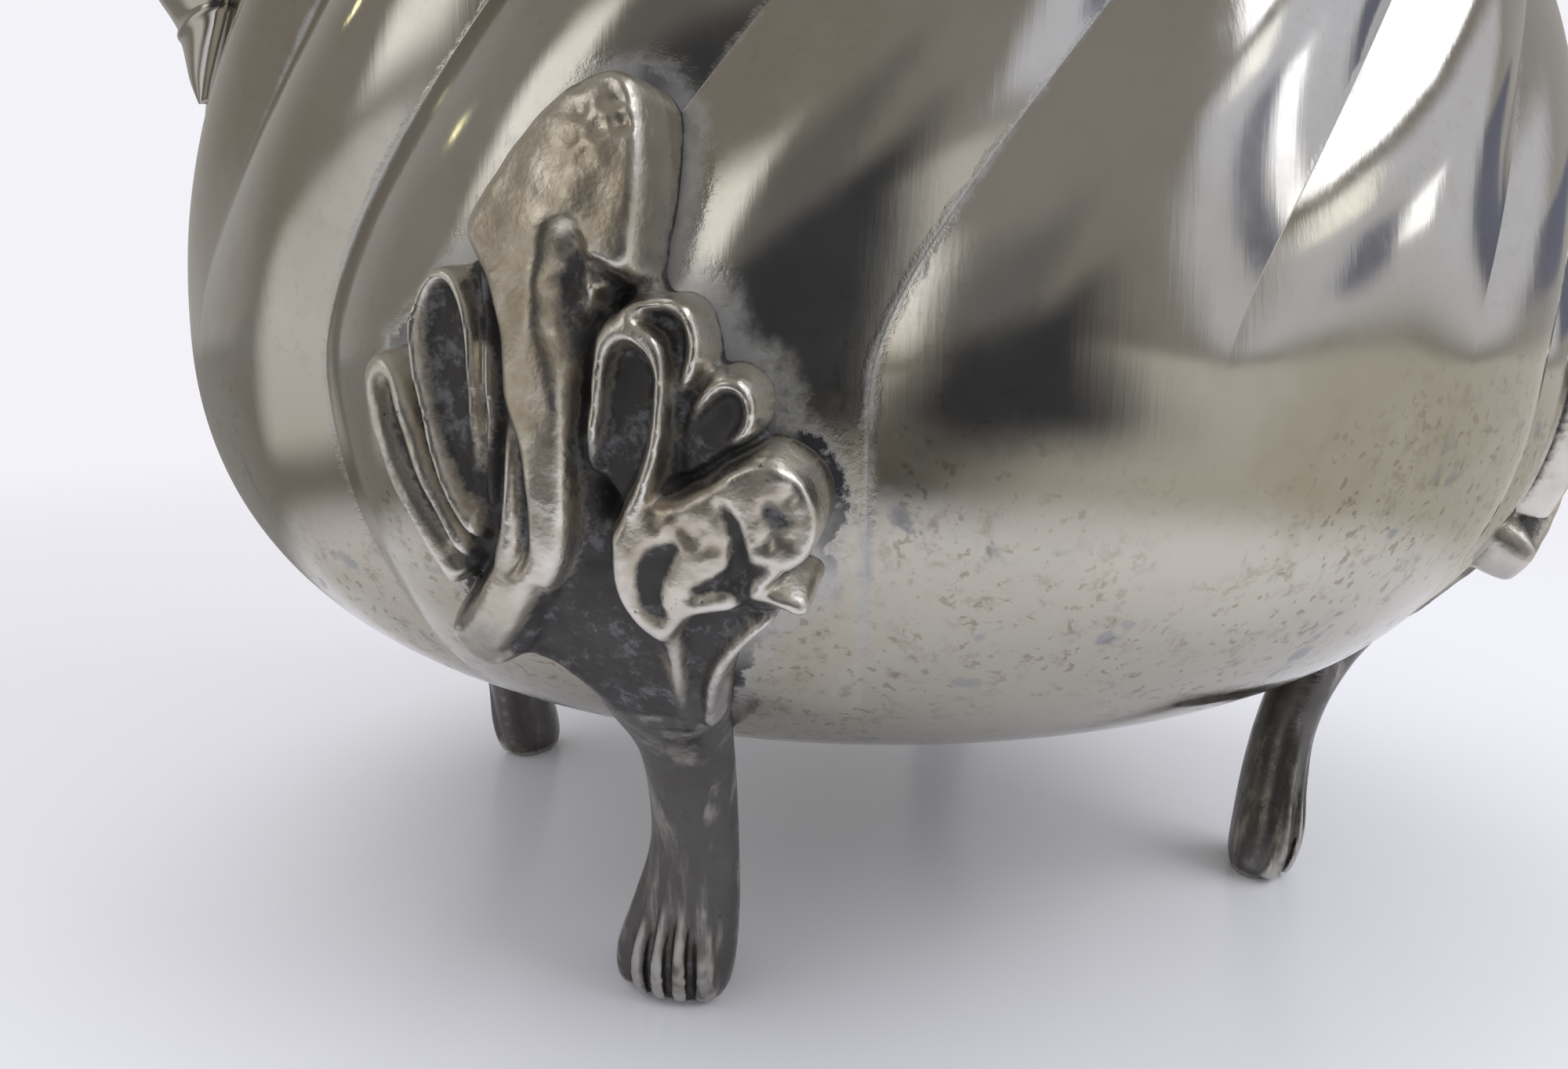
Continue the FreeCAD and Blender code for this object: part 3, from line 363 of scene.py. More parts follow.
@dataclass(frozen=True)
class WornSilver:
    """Polished silver with tarnish, spots, scratches and polish left in its creases."""

    name: str = "worn_silver"
    clean: Colour = (0.62, 0.605, 0.575)
    tarnish: Colour = (0.42, 0.385, 0.305)
    spot: Colour = (0.19, 0.155, 0.10)
    bloom: Colour = (0.24, 0.26, 0.30)
    polish: Colour = (0.40, 0.41, 0.42)
    soot: Colour = (0.02, 0.02, 0.025)
    gloss: Span = (0.075, 0.17)
    belly_heights: Span = (0.056, 0.034)
    belly_tarnish: float = 0.75
    scratch_scale: Triple = (1400.0, 1400.0, 45.0)
    scratch_turns: tuple[Triple, Triple] = ((0.5, 0.3, 0.8), (1.2, -0.6, 2.0))

    def material(self) -> Material:
        """The material with its node tree."""
        material, nodes, shader = new_material(self.name)
        place = nodes.place()
        height = nodes.add("ShaderNodeSeparateXYZ", {0: place}).outputs["Z"]
        belly = nodes.ramp(height, *self.belly_heights)
        film = nodes.ramp(nodes.noise(34, 5, 0.6, place), 0.36, 0.66)
        haze = nodes.product(film, nodes.ramp(belly, 0.0, 1.0, 0.55, 1.0))
        haze = nodes.highest(haze, nodes.product(belly, self.belly_tarnish))
        colour = nodes.mix(haze, self.clean, self.tarnish)
        colour, spots = self.speckled(nodes, place, belly, colour)
        colour, dirt = self.soiled(nodes, place, colour)
        nodes.feed(shader.inputs["Base Color"], colour)
        nodes.feed(shader.inputs["Metallic"], nodes.ramp(dirt, 0.0, 1.0, 1.0, 0.3))
        smear = nodes.ramp(nodes.noise(110, 5, 0.7, place), 0.35, 0.75, *self.gloss)
        dull = nodes.product(nodes.total(dirt, spots), 0.3)
        nodes.feed(shader.inputs["Roughness"], nodes.total(smear, dull))
        dents = nodes.bump(nodes.noise(60, 2, 0.5, place), 0.0003)
        marks = nodes.bump(self.scratches(nodes, place), 0.00001, dents)
        nodes.feed(shader.inputs["Normal"], nodes.bump(dirt, 0.00005, marks))
        return material

    def speckled(self, nodes: Nodes, place: object, belly: object, colour: object) -> tuple[object, object]:
        """Brown and grey spots, most of them low on the belly.

        Args:
            nodes: The material's nodes.
            place: Socket with the point on the surface.
            belly: Socket that is 1 low on the belly.
            colour: Socket with the colour so far.

        Returns:
            Sockets with the colour and the cover of the spots.
        """
        patch = nodes.ramp(nodes.noise(45, 2, 0.5, place), 0.36, 0.54)
        share = nodes.product(patch, nodes.ramp(belly, 0.0, 1.0, 0.12, 1.0))
        stains = nodes.ramp(nodes.noise(620, 6, 0.72, place, 0.2), 0.50, 0.70)
        dots = nodes.ramp(nodes.noise(1300, 2, 0.5, place), 0.60, 0.68)
        blooms = nodes.ramp(nodes.noise(300, 2, 0.5, place), 0.64, 0.71)
        stain_share = nodes.product(stains, share, 0.5)
        dot_share = nodes.product(dots, share, 0.55)
        bloom_share = nodes.product(blooms, share, 0.6)
        colour = nodes.mix(stain_share, colour, self.spot)
        colour = nodes.mix(dot_share, colour, self.spot)
        colour = nodes.mix(bloom_share, colour, self.bloom)
        return colour, nodes.highest(stain_share, bloom_share)

    def soiled(self, nodes: Nodes, place: object, colour: object) -> tuple[object, object]:
        """Dried polish in the creases and black dirt along soldered edges.

        Args:
            nodes: The material's nodes.
            place: Socket with the point on the surface.
            colour: Socket with the colour so far.

        Returns:
            Sockets with the colour and the cover of the dirt.
        """
        crust = nodes.noise(520, 5, 0.75, place)
        lots = nodes.ramp(nodes.noise(30, 2, 0.5, place), 0.42, 0.62, -0.35, 0.0)
        caked = nodes.total(nodes.shade("crease"), lots, crust)
        sooty = nodes.total(nodes.shade("soot"), crust)
        haze = nodes.ramp(sooty, 0.80, 1.55, 0.0, 0.55)
        polish = nodes.highest(nodes.ramp(caked, 0.95, 1.55, 0.0, 0.6), haze)
        clumps = nodes.ramp(nodes.noise(95, 2, 0.5, place), 0.47, 0.60)
        black = nodes.product(nodes.ramp(sooty, 1.30, 1.42), clumps)
        colour = nodes.mix(polish, colour, self.polish)
        return nodes.mix(black, colour, self.soot), nodes.highest(polish, black)

    def scratches(self, nodes: Nodes, place: object) -> object:
        """Socket with fine scratches that run two ways."""
        ways = [nodes.stretched(place, self.scratch_scale, turn) for turn in self.scratch_turns]
        return nodes.product(*(nodes.noise(1.0, 3, 0.6, way) for way in ways))


@dataclass(frozen=True)
class CastSilver:
    """Cast silver, bright on its ridges and dark in its hollows with oxide and painted shade."""

    name: str = "cast_silver"
    bright: Colour = (0.68, 0.64, 0.56)
    warm: Colour = (0.47, 0.41, 0.32)
    oxide_and_shade: Colour = (0.055, 0.052, 0.050)
    chalk: Colour = (0.26, 0.27, 0.29)
    dark_low_tone: Colour = (0.095, 0.092, 0.090)
    rubbed: Colour = (0.76, 0.735, 0.69)
    dark_low_heights: Span = (0.037, 0.029)
    streak_scale: Triple = (420.0, 420.0, 55.0)

    def material(self) -> Material:
        """The material with its node tree."""
        material, nodes, shader = new_material(self.name)
        place = nodes.place()
        film = nodes.ramp(nodes.noise(150, 4, 0.65, place), 0.36, 0.66)
        colour = nodes.mix(film, self.bright, self.warm)
        height = nodes.add("ShaderNodeSeparateXYZ", {0: place}).outputs["Z"]
        # Darker low on the legs, except where streaks and edges are rubbed bright.
        low = nodes.ramp(nodes.total(height, nodes.product(film, 0.004)), *self.dark_low_heights)
        streaks = nodes.stretched(place, self.streak_scale)
        streak = nodes.ramp(nodes.noise(1.0, 4, 0.6, streaks), 0.50, 0.68, 0.0, 0.4)
        edges = nodes.ramp(nodes.shade("worn"), 0.05, 0.6, 0.0, 0.7)
        rubbed = nodes.total(edges, nodes.product(streak, low))
        kept = nodes.product(low, nodes.ramp(rubbed, 0.0, 0.75, 0.94, 0.35))
        colour = nodes.mix(kept, nodes.mix(rubbed, colour, self.rubbed), self.dark_low_tone)
        grain = nodes.noise(1500, 4, 0.7, place)
        pits = nodes.ramp(nodes.noise(1900, 2, 0.6, place), 0.66, 0.72)
        patch = nodes.ramp(nodes.noise(240, 2, 0.5, place), 0.5, 0.62)
        pitted = nodes.product(pits, patch, 0.8)
        uneven = nodes.product(nodes.chain("SUBTRACT", grain, 0.5), 0.7)
        # Near-black oxide and painted shade in the hollows, read from the mesh; the noise pits take the same
        # dark colour.
        cavity = nodes.total(nodes.shade("hollow_shade_and_oxide"), uneven)
        oxide_and_shade = nodes.ramp(cavity, 0.20, 0.72)
        chalk_noise = nodes.ramp(nodes.noise(420, 4, 0.75, place), 0.52, 0.66)
        chalk = nodes.product(chalk_noise, oxide_and_shade, 0.45)
        colour = nodes.mix(oxide_and_shade, colour, self.oxide_and_shade)
        colour = nodes.mix(pitted, colour, self.oxide_and_shade)
        colour = nodes.mix(chalk, colour, self.chalk)
        nodes.feed(shader.inputs["Base Color"], colour)
        nodes.feed(shader.inputs["Metallic"], nodes.ramp(oxide_and_shade, 0.0, 1.0, 1.0, 0.55))
        worn = nodes.ramp(nodes.noise(300, 4, 0.7, place), 0.3, 0.7, 0.24, 0.40)
        nodes.feed(shader.inputs["Roughness"], nodes.total(worn, nodes.product(oxide_and_shade, 0.22)))
        hammered = nodes.bump(nodes.noise(520, 3, 0.6, place), 0.00010)
        nodes.feed(shader.inputs["Normal"], nodes.bump(grain, 0.00003, hammered))
        return material


@dataclass(frozen=True)
class DarkWood:
    """Dark stained hardwood with grain along the grip."""

    name: str = "dark_wood"
    dark: Colour = (0.030, 0.014, 0.008)
    light: Colour = (0.110, 0.052, 0.026)
    grain_scale: Triple = (420.0, 420.0, 22.0)

    def material(self) -> Material:
        """The material with its node tree."""
        material, nodes, shader = new_material(self.name)
        place = nodes.place()
        along = nodes.stretched(place, self.grain_scale)
        grain = nodes.noise(1.0, 6, 0.7, along, 0.4)
        pores = nodes.ramp(nodes.noise(3.2, 3, 0.6, along), 0.58, 0.70)
        colour = nodes.mix(nodes.ramp(grain, 0.3, 0.7), self.dark, self.light)
        colour = nodes.mix(nodes.product(pores, 0.7), colour, self.dark)
        nodes.feed(shader.inputs["Base Color"], colour)
        nodes.feed(shader.inputs["Roughness"], nodes.ramp(grain, 0.2, 0.8, 0.30, 0.46))
        shader.inputs["Coat Weight"].default_value = 0.25
        shader.inputs["Coat Roughness"].default_value = 0.18
        nodes.feed(shader.inputs["Normal"], nodes.bump(pores, 0.00008))
        return material


# The pot's outline


@dataclass
class Flutes:
    """Outline of the body and the creases that turn around it."""

    belly: float = 60.0
    belly_height: float = 49.3
    underside: float = 15.7
    base: float = 22.0
    neck: float = 31.0
    neck_height: float = 152.0
    mouth: float = 34.5
    mouth_height: float = 186.0
    roundness: float = 2.2
    fullness: float = 3.09
    count: int = 20
    per_foot: int = 5
    depth: float = 2.0
    turn: float = 0.85
    turn_start: float = 46.0
    turn_ease: float = 6.0
    first_angle: float = 45.0
    long_fade: Span = (20.0, 34.0)
    short_fade: Span = (46.0, 68.0)
    top_fade: Span = (158.0, 176.0)
    batch: int = 4000

    def crest(self, z: Array | float) -> Array:
        """Radius over the crests at each height."""
        z = np.asarray(z, float)
        low = np.clip((self.belly_height - z) / (self.belly_height - self.underside), 0, 1)
        under = self.belly * (1 - low ** self.roundness) ** (1 / self.fullness)
        share = np.clip((z - self.belly_height) / (self.neck_height - self.belly_height), 0, 1)
        shoulder = self.neck + (self.belly - self.neck) * 0.5 * (1 + np.cos(np.pi * share))
        flare = np.clip((z - self.neck_height) / (self.mouth_height - self.neck_height), 0, 1)
        collar = self.neck + (self.mouth - self.neck) * 0.5 * (1 - np.cos(np.pi * flare))
        return np.where(z < self.belly_height, under, np.where(z < self.neck_height, shoulder, collar))

    def twist(self, z: Array | float) -> Array:
        """Turn of the creases at each height, in radians."""
        climb = np.clip(np.asarray(z, float) - self.turn_start, 0, None)
        return np.radians(self.turn * (climb - self.turn_ease * (1 - np.exp(-climb / self.turn_ease))))

    def crease_depth(self, crease: Array, z: Array) -> Array:
        """Depth of creases by their number and height: those beside a foot run further down.

        Args:
            crease: Numbers of creases.
            z: Heights.

        Returns:
            Depths below the crests.
        """
        beside_foot = np.isin(np.asarray(crease) % self.per_foot, (self.per_foot - 1, 0, 1))
        fade = np.where(beside_foot, eased(*self.long_fade, z), eased(*self.short_fade, z))
        return self.depth * self.crest(z) / self.belly * fade * (1 - eased(*self.top_fade, z))

    def dip(self, angle: Array, z: Array) -> Array:
        """How far the surface lies below its crests.

        Args:
            angle: Headings in radians.
            z: Heights.

        Returns:
            The dips.
        """
        flute = (angle - math.radians(self.first_angle) - self.twist(z)) / (2 * np.pi / self.count)
        phase = flute - np.floor(flute)
        depth = self.crease_depth(np.round(flute).astype(int), z)
        return depth * (1 - np.sin(np.pi * phase))

    def nearest(self, places: Array) -> tuple[Array, Array]:
        """Lift of places over the crests, and the height of the nearest place on the crests.

        Args:
            places: Rows of (radius, height) beside the lower half of the pot.

        Returns:
            The lifts, negative inside the pot, and the heights.
        """
        fine = np.linspace(self.underside + 0.02, 18, 60)
        curve_z = np.concatenate([fine, np.linspace(18.05, 70, 520)])
        curve = np.stack([self.crest(curve_z), curve_z], axis=1)
        lift, foot = np.empty(len(places)), np.empty(len(places))
        for start in range(0, len(places), self.batch):
            part = places[start:start + self.batch]
            away = np.hypot(part[:, None, 0] - curve[None, :, 0], part[:, None, 1] - curve[None, :, 1])
            closest = np.clip(away.argmin(axis=1), 1, len(curve) - 2)
            best, place = np.full(len(part), np.inf), np.empty(len(part))
            for first in (closest - 1, closest):
                run = curve[first + 1] - curve[first]
                along = np.clip(((part - curve[first]) * run).sum(axis=1) / (run * run).sum(axis=1), 0, 1)
                middle = curve[first] + along[:, None] * run
                gap = np.linalg.norm(part - middle, axis=1)
                place = np.where(gap < best, middle[:, 1], place)
                best = np.minimum(best, gap)
            outside = part[:, 0] > self.crest(np.clip(part[:, 1], self.underside, None))
            sign = np.where(outside | (part[:, 1] < self.underside), 1, -1)
            lift[start:start + self.batch] = sign * best
            foot[start:start + self.batch] = place
        return lift, foot

    def outline(self, under: int = 60, shoulder: int = 120, collar: int = 36) -> Array:
        """Radius and height of rows from the base opening to the mouth.

        Args:
            under: Rows below the belly.
            shoulder: Rows from belly to neck.
            collar: Rows from neck to mouth.

        Returns:
            Rows of (radius, height).
        """
        start = math.asin((self.base / self.belly) ** (self.fullness / 2))
        turn = np.linspace(start, np.pi / 2, under, endpoint=False)
        low = self.belly_height - (self.belly_height - self.underside) * np.cos(turn) ** (2 / self.roundness)
        middle = np.linspace(self.belly_height, self.neck_height, shoulder, endpoint=False)
        high = np.linspace(self.neck_height, self.mouth_height, collar)
        z = np.concatenate([low, middle, high])
        return np.stack([self.crest(z), z], axis=1)


# Cast feet


class Sketch:
    """Distances on the leaf's plan, whose axes are the side and the height over the table."""

    def __init__(self, side: Array, height: Array) -> None:
        """Keep the grid of places."""
        self.side, self.height = np.meshgrid(side, height)

    def to_segment(self, start: Array, end: Array) -> tuple[Array, Array]:
        """Distance to a straight line between two points.

        Args:
            start: First point.
            end: Last point.

        Returns:
            Distance at each place of the grid, and the share of the line where it is nearest.
        """
        run = end[:2] - start[:2]
        along = (self.side - start[0]) * run[0] + (self.height - start[1]) * run[1]
        along = np.clip(along / max(run @ run, 1e-9), 0, 1)
        return np.hypot(self.side - start[0] - along * run[0], self.height - start[1] - along * run[1]), along

    def stroke(self, line: Stroke) -> Array:
        """Distance to a curved stroke of changing width, negative inside.

        Args:
            line: Points (side, height, half width) along its middle.

        Returns:
            Distance at each place of the grid.
        """
        curve = smooth_line(line, 6)
        nearest = np.full(self.side.shape, 1e3)
        for start, end in zip(curve[:-1], curve[1:]):
            away, along = self.to_segment(start, end)
            nearest = np.minimum(nearest, away - (start[2] + along * (end[2] - start[2])))
        return nearest

    def patch(self, outline: Outline) -> Array:
        """Distance to a closed smooth outline, negative inside.

        Args:
            outline: Points (side, height) along it.

        Returns:
            Distance at each place of the grid.
        """
        curve = smooth_line(outline, 5, closed=True)
        nearest = np.full(self.side.shape, 1e3)
        inside = np.zeros(self.side.shape, bool)
        for start, end in zip(curve, np.roll(curve, -1, axis=0)):
            nearest = np.minimum(nearest, self.to_segment(start, end)[0])
            crosses = (start[1] > self.height) != (end[1] > self.height)
            rise = end[1] - start[1] if end[1] != start[1] else 1e-9
            inside ^= crosses & (self.side < start[0] + (end[0] - start[0]) * (self.height - start[1]) / rise)
        return np.where(inside, -nearest, nearest)


@dataclass
class Lobe:
    """One raised lobe of the leaf, with a rounded edge and an optional swell to its middle."""

    outline: Outline
    top: float
    edge: float
    crown: float = 0.0


@dataclass
class Ridge:
    """One stroke raised on the leaf, with points (side, height, half width)."""

    line: Stroke
    height: float


@dataclass
class Groove:
    """One stroke cut into the leaf, with points (side, height, half width)."""

    line: Stroke
    depth: float
    soft: float = 0.25
    # Share of darkness painted inside the cut, as shade with oxide.
    dark: float = 0.85


@dataclass
class Hollow:
    """One closed hollow cut into the leaf."""

    outline: Outline
    depth: float
    soft: float = 0.3
    # Share of darkness painted inside the hollow, as shade with oxide.
    dark: float = 0.85


# The leaf's plan: points are (side, height), and pit fields are (side, height, spread, count)


LEAF_LOBES: dict[str, Lobe] = {
    "web": Lobe(top=1.4, edge=0.8, outline=[
        (-4.6, 35.2), (-6.4, 40.0), (-5.4, 47.0), (-4.2, 51.5), (-2.4, 53.4), (0.0, 53.5), (3.0, 57.0),
        (7.0, 57.0), (8.2, 52.0), (10.2, 49.6), (12.6, 46.0), (14.4, 42.0), (15.4, 39.0), (14.8, 35.6),
        (12.0, 33.6), (9.8, 30.6), (8.2, 27.0), (4.6, 25.5), (0.4, 27.6), (-2.6, 31.4)]),
    "stem": Lobe(top=3.4, edge=0.8, crown=0.5, outline=[
        (6.2, 62.1), (4.4, 61.6), (2.5, 60.3), (0.9, 58.6), (-0.4, 56.9), (-1.5, 55.4), (-1.8, 54.1),
        (-1.2, 52.8), (-0.5, 51.4), (0.0, 49.0), (0.0, 46.5), (-0.2, 44.2), (-0.6, 42.0), (-1.3, 39.9),
        (-2.3, 38.2), (-3.6, 36.9), (-5.2, 35.6), (-6.8, 34.4), (-7.4, 33.2), (-6.9, 31.8), (-5.6, 30.9),
        (-3.6, 31.2), (-1.6, 32.6), (0.2, 34.6), (1.6, 36.2), (2.8, 37.8), (3.5, 39.8), (3.9, 42.0),
        (4.2, 44.4), (4.5, 46.6), (4.9, 48.8), (5.6, 50.8), (6.8, 51.6), (7.9, 52.6), (8.2, 54.4),
        (8.4, 56.4), (8.3, 58.6), (8.0, 60.4), (7.4, 61.6)]),
    "tall_feather": Lobe(top=3.0, edge=0.45, outline=[
        (-2.7, 38.4), (-2.5, 41.2), (-1.9, 44.8), (-1.6, 48.0), (-1.6, 50.4), (-2.1, 52.1), (-3.2, 53.0),
        (-4.6, 52.4), (-5.7, 50.6), (-6.0, 48.6), (-5.8, 46.6), (-5.4, 44.4), (-5.0, 42.0), (-4.2, 40.0),
        (-3.4, 38.7)]),
    "short_feather": Lobe(top=2.6, edge=0.6, outline=[
        (-6.2, 35.3), (-5.0, 36.0), (-3.7, 36.9), (-3.9, 38.6), (-4.7, 40.6), (-5.3, 42.6), (-5.7, 44.6),
        (-6.1, 46.2), (-6.8, 47.8), (-7.8, 48.6), (-9.0, 48.2), (-9.6, 46.8), (-9.6, 44.8), (-9.2, 42.8),
        (-8.6, 40.8), (-7.8, 38.8), (-7.0, 36.8)]),
    "upper_scallop": Lobe(top=3.4, edge=0.7, outline=[
        (4.5, 44.6), (4.8, 46.6), (5.1, 48.8), (5.6, 50.2), (6.8, 51.0), (8.2, 51.3), (9.6, 51.4),
        (10.6, 50.8), (11.1, 49.4), (11.2, 48.2), (10.6, 47.0), (9.8, 46.2), (9.2, 44.6), (8.5, 42.4),
        (7.6, 40.6), (6.0, 40.4), (4.9, 41.6), (4.4, 43.0)]),
    "middle_scallop": Lobe(top=3.3, edge=0.7, outline=[
        (9.0, 42.6), (9.6, 45.0), (10.4, 46.6), (11.4, 47.7), (12.6, 47.8), (13.5, 47.0), (13.8, 45.8),
        (13.4, 44.6), (12.6, 43.8), (11.2, 43.0), (9.8, 42.2)]),
    "broad_scallop": Lobe(top=3.2, edge=0.55, outline=[
        (5.4, 40.6), (6.4, 41.4), (8.0, 41.5), (9.4, 41.9), (10.8, 43.0), (12.4, 43.8), (13.8, 44.0),
        (15.0, 43.5), (16.1, 42.5), (16.7, 41.0), (16.6, 39.6), (15.9, 38.4), (14.6, 37.6), (13.2, 36.4),
        (12.2, 35.7), (10.6, 35.4), (9.2, 35.0), (8.2, 34.0), (7.4, 33.4), (6.2, 34.2), (5.2, 35.6),
        (4.9, 37.4), (5.2, 39.2)]),
    "lip": Lobe(top=3.0, edge=0.5, outline=[
        (12.0, 36.6), (13.2, 37.1), (14.6, 37.1), (15.8, 36.7), (16.2, 36.0), (15.7, 35.3), (14.6, 35.4),
        (13.4, 35.4), (12.4, 35.4)]),
}
LEAF_RIDGES: dict[str, Ridge] = {
    "thin_rib": Ridge(height=2.6, line=[
        (-1.3, 53.2, 0.2), (-0.9, 50.0, 0.3), (-1.0, 47.0, 0.32), (-1.1, 44.6, 0.32), (-1.5, 42.4, 0.3),
        (-2.1, 40.4, 0.2)]),
    "right_root": Ridge(height=2.4, line=[
        (13.6, 34.9, 0.35), (12.2, 33.8, 0.45), (10.6, 32.2, 0.5), (9.2, 30.0, 0.55), (8.2, 27.2, 0.5)]),
    "middle_root": Ridge(height=2.5, line=[
        (7.6, 34.0, 0.8), (7.4, 31.8, 0.6), (6.9, 29.2, 0.5), (6.2, 26.8, 0.4)]),
    "left_root": Ridge(height=1.9, line=[
        (-4.8, 31.4, 0.4), (-1.8, 30.9, 0.5), (0.4, 29.4, 0.6), (2.2, 27.4, 0.5)]),
}
LEAF_GROOVES: dict[str, Groove] = {
    "crown_valley": Groove(depth=0.9, soft=0.6, dark=0.22, line=[
        (4.4, 46.2, 0.35), (4.2, 48.6, 0.7), (4.2, 50.8, 1.0), (4.3, 53.6, 0.8)]),
    "crown_notch": Groove(depth=1.7, soft=0.35, line=[
        (5.6, 52.4, 0.3), (6.3, 51.6, 0.55), (6.2, 50.6, 0.4)]),
    "band_slit": Groove(depth=1.0, line=[
        (0.4, 46.0, 0.12), (0.8, 44.0, 0.3), (0.8, 41.2, 0.4), (0.4, 38.8, 0.34), (-0.4, 37.6, 0.12)]),
    "band_lower_slit": Groove(depth=1.1, line=[
        (0.8, 36.6, 0.15), (-0.2, 35.0, 0.38), (-1.6, 33.6, 0.42), (-3.4, 32.2, 0.3)]),
    "band_end_slit": Groove(depth=1.1, line=[(-2.0, 38.0, 0.15), (-4.0, 36.0, 0.4), (-6.0, 34.4, 0.35)]),
    "short_feather_groove": Groove(depth=0.7, line=[
        (-7.8, 46.6, 0.3), (-7.4, 44.0, 0.45), (-6.8, 41.6, 0.42), (-6.0, 39.6, 0.4), (-5.3, 38.2, 0.25)]),
    "short_feather_pit": Groove(depth=0.9, line=[(-5.2, 37.7, 0.3), (-4.7, 37.2, 0.4), (-4.3, 36.9, 0.25)]),
    "scallop_gap": Groove(depth=1.6, line=[
        (9.2, 42.0, 0.25), (10.6, 42.6, 0.3), (12.0, 43.6, 0.3), (13.4, 44.2, 0.25)]),
    "kidney": Groove(depth=0.5, soft=0.14, dark=1.0, line=[
        (9.0, 39.2, 0.25), (8.0, 38.5, 0.7), (7.3, 37.4, 0.8), (7.1, 36.2, 0.62), (7.6, 35.4, 0.4)]),
    "upright": Groove(depth=0.45, soft=0.14, dark=1.0, line=[
        (11.5, 41.4, 0.2), (12.0, 40.4, 0.4), (12.3, 39.0, 0.5), (12.1, 37.4, 0.6), (12.4, 35.9, 0.35)]),
    "bar": Groove(depth=0.45, soft=0.14, dark=1.0, line=[
        (9.6, 36.8, 0.3), (10.8, 37.3, 0.4), (12.2, 37.7, 0.6), (13.6, 38.3, 0.25)]),
    "lip_slit": Groove(depth=0.9, line=[(12.6, 36.1, 0.28), (13.6, 36.0, 0.28), (14.6, 35.8, 0.12)]),
    "lip_notch": Groove(depth=1.5, line=[(14.8, 37.4, 0.2), (15.7, 37.5, 0.35), (16.7, 37.7, 0.4)]),
}
LEAF_HOLLOWS: dict[str, Hollow] = {
    "tall_feather": Hollow(depth=1.3, outline=[
        (-3.1, 40.2), (-2.6, 42.4), (-2.3, 45.0), (-2.2, 48.0), (-2.3, 50.2), (-2.9, 51.6), (-3.7, 51.9),
        (-4.6, 51.0), (-5.1, 49.2), (-5.0, 46.6), (-4.6, 44.0), (-4.0, 41.8)]),
    "upper_groove": Hollow(depth=1.7, outline=[
        (7.2, 48.9), (6.3, 48.4), (5.9, 46.8), (5.5, 45.0), (5.0, 43.2), (4.6, 41.4), (4.7, 39.8),
        (5.6, 40.0), (6.6, 41.4), (7.4, 42.8), (8.0, 44.4), (8.3, 46.2), (8.3, 47.8)]),
    "upper_crescent": Hollow(depth=1.6, outline=[
        (7.6, 50.2), (8.6, 50.5), (9.6, 50.2), (10.1, 49.2), (9.9, 47.8), (9.4, 46.2), (9.0, 45.0),
        (9.1, 46.6), (9.2, 48.2), (8.8, 49.3)]),
    "middle_scallop": Hollow(depth=1.5, outline=[
        (9.1, 42.8), (9.8, 44.6), (10.8, 46.0), (11.9, 46.7), (12.7, 46.3), (12.8, 45.2), (12.0, 44.2),
        (10.8, 43.3), (9.8, 42.7)]),
    "broad_pit": Hollow(depth=0.4, soft=0.14, dark=0.9, outline=[
        (13.4, 40.9), (14.0, 41.9), (14.5, 41.1), (15.6, 41.0), (14.9, 40.4), (14.7, 39.6), (14.2, 40.1)]),
}
LEAF_SHADOWS: list[Outline] = [
    [(4.3, 46.0), (5.0, 43.0), (4.8, 40.0), (4.9, 37.4), (5.0, 35.4), (6.2, 33.9), (6.6, 30.5), (6.0, 26.5),
     (2.0, 26.0), (0.6, 28.4), (-1.0, 29.9), (-2.6, 31.0), (0.4, 33.6), (2.2, 36.0), (3.4, 38.6),
     (4.0, 42.0)],
    [(7.9, 32.6), (9.2, 33.8), (11.4, 34.6), (12.4, 34.4), (10.6, 32.6), (9.2, 30.6), (8.4, 28.6),
     (7.6, 29.6)],
]
PIT_FIELDS: list[tuple[float, float, float, int]] = [
    (6.4, 59.2, 0.9, 12),
    (4.2, 51.4, 0.8, 22),
    (9.0, 41.0, 0.7, 9),
    (14.4, 40.3, 0.9, 10),
    (11.6, 38.6, 1.2, 10),
]


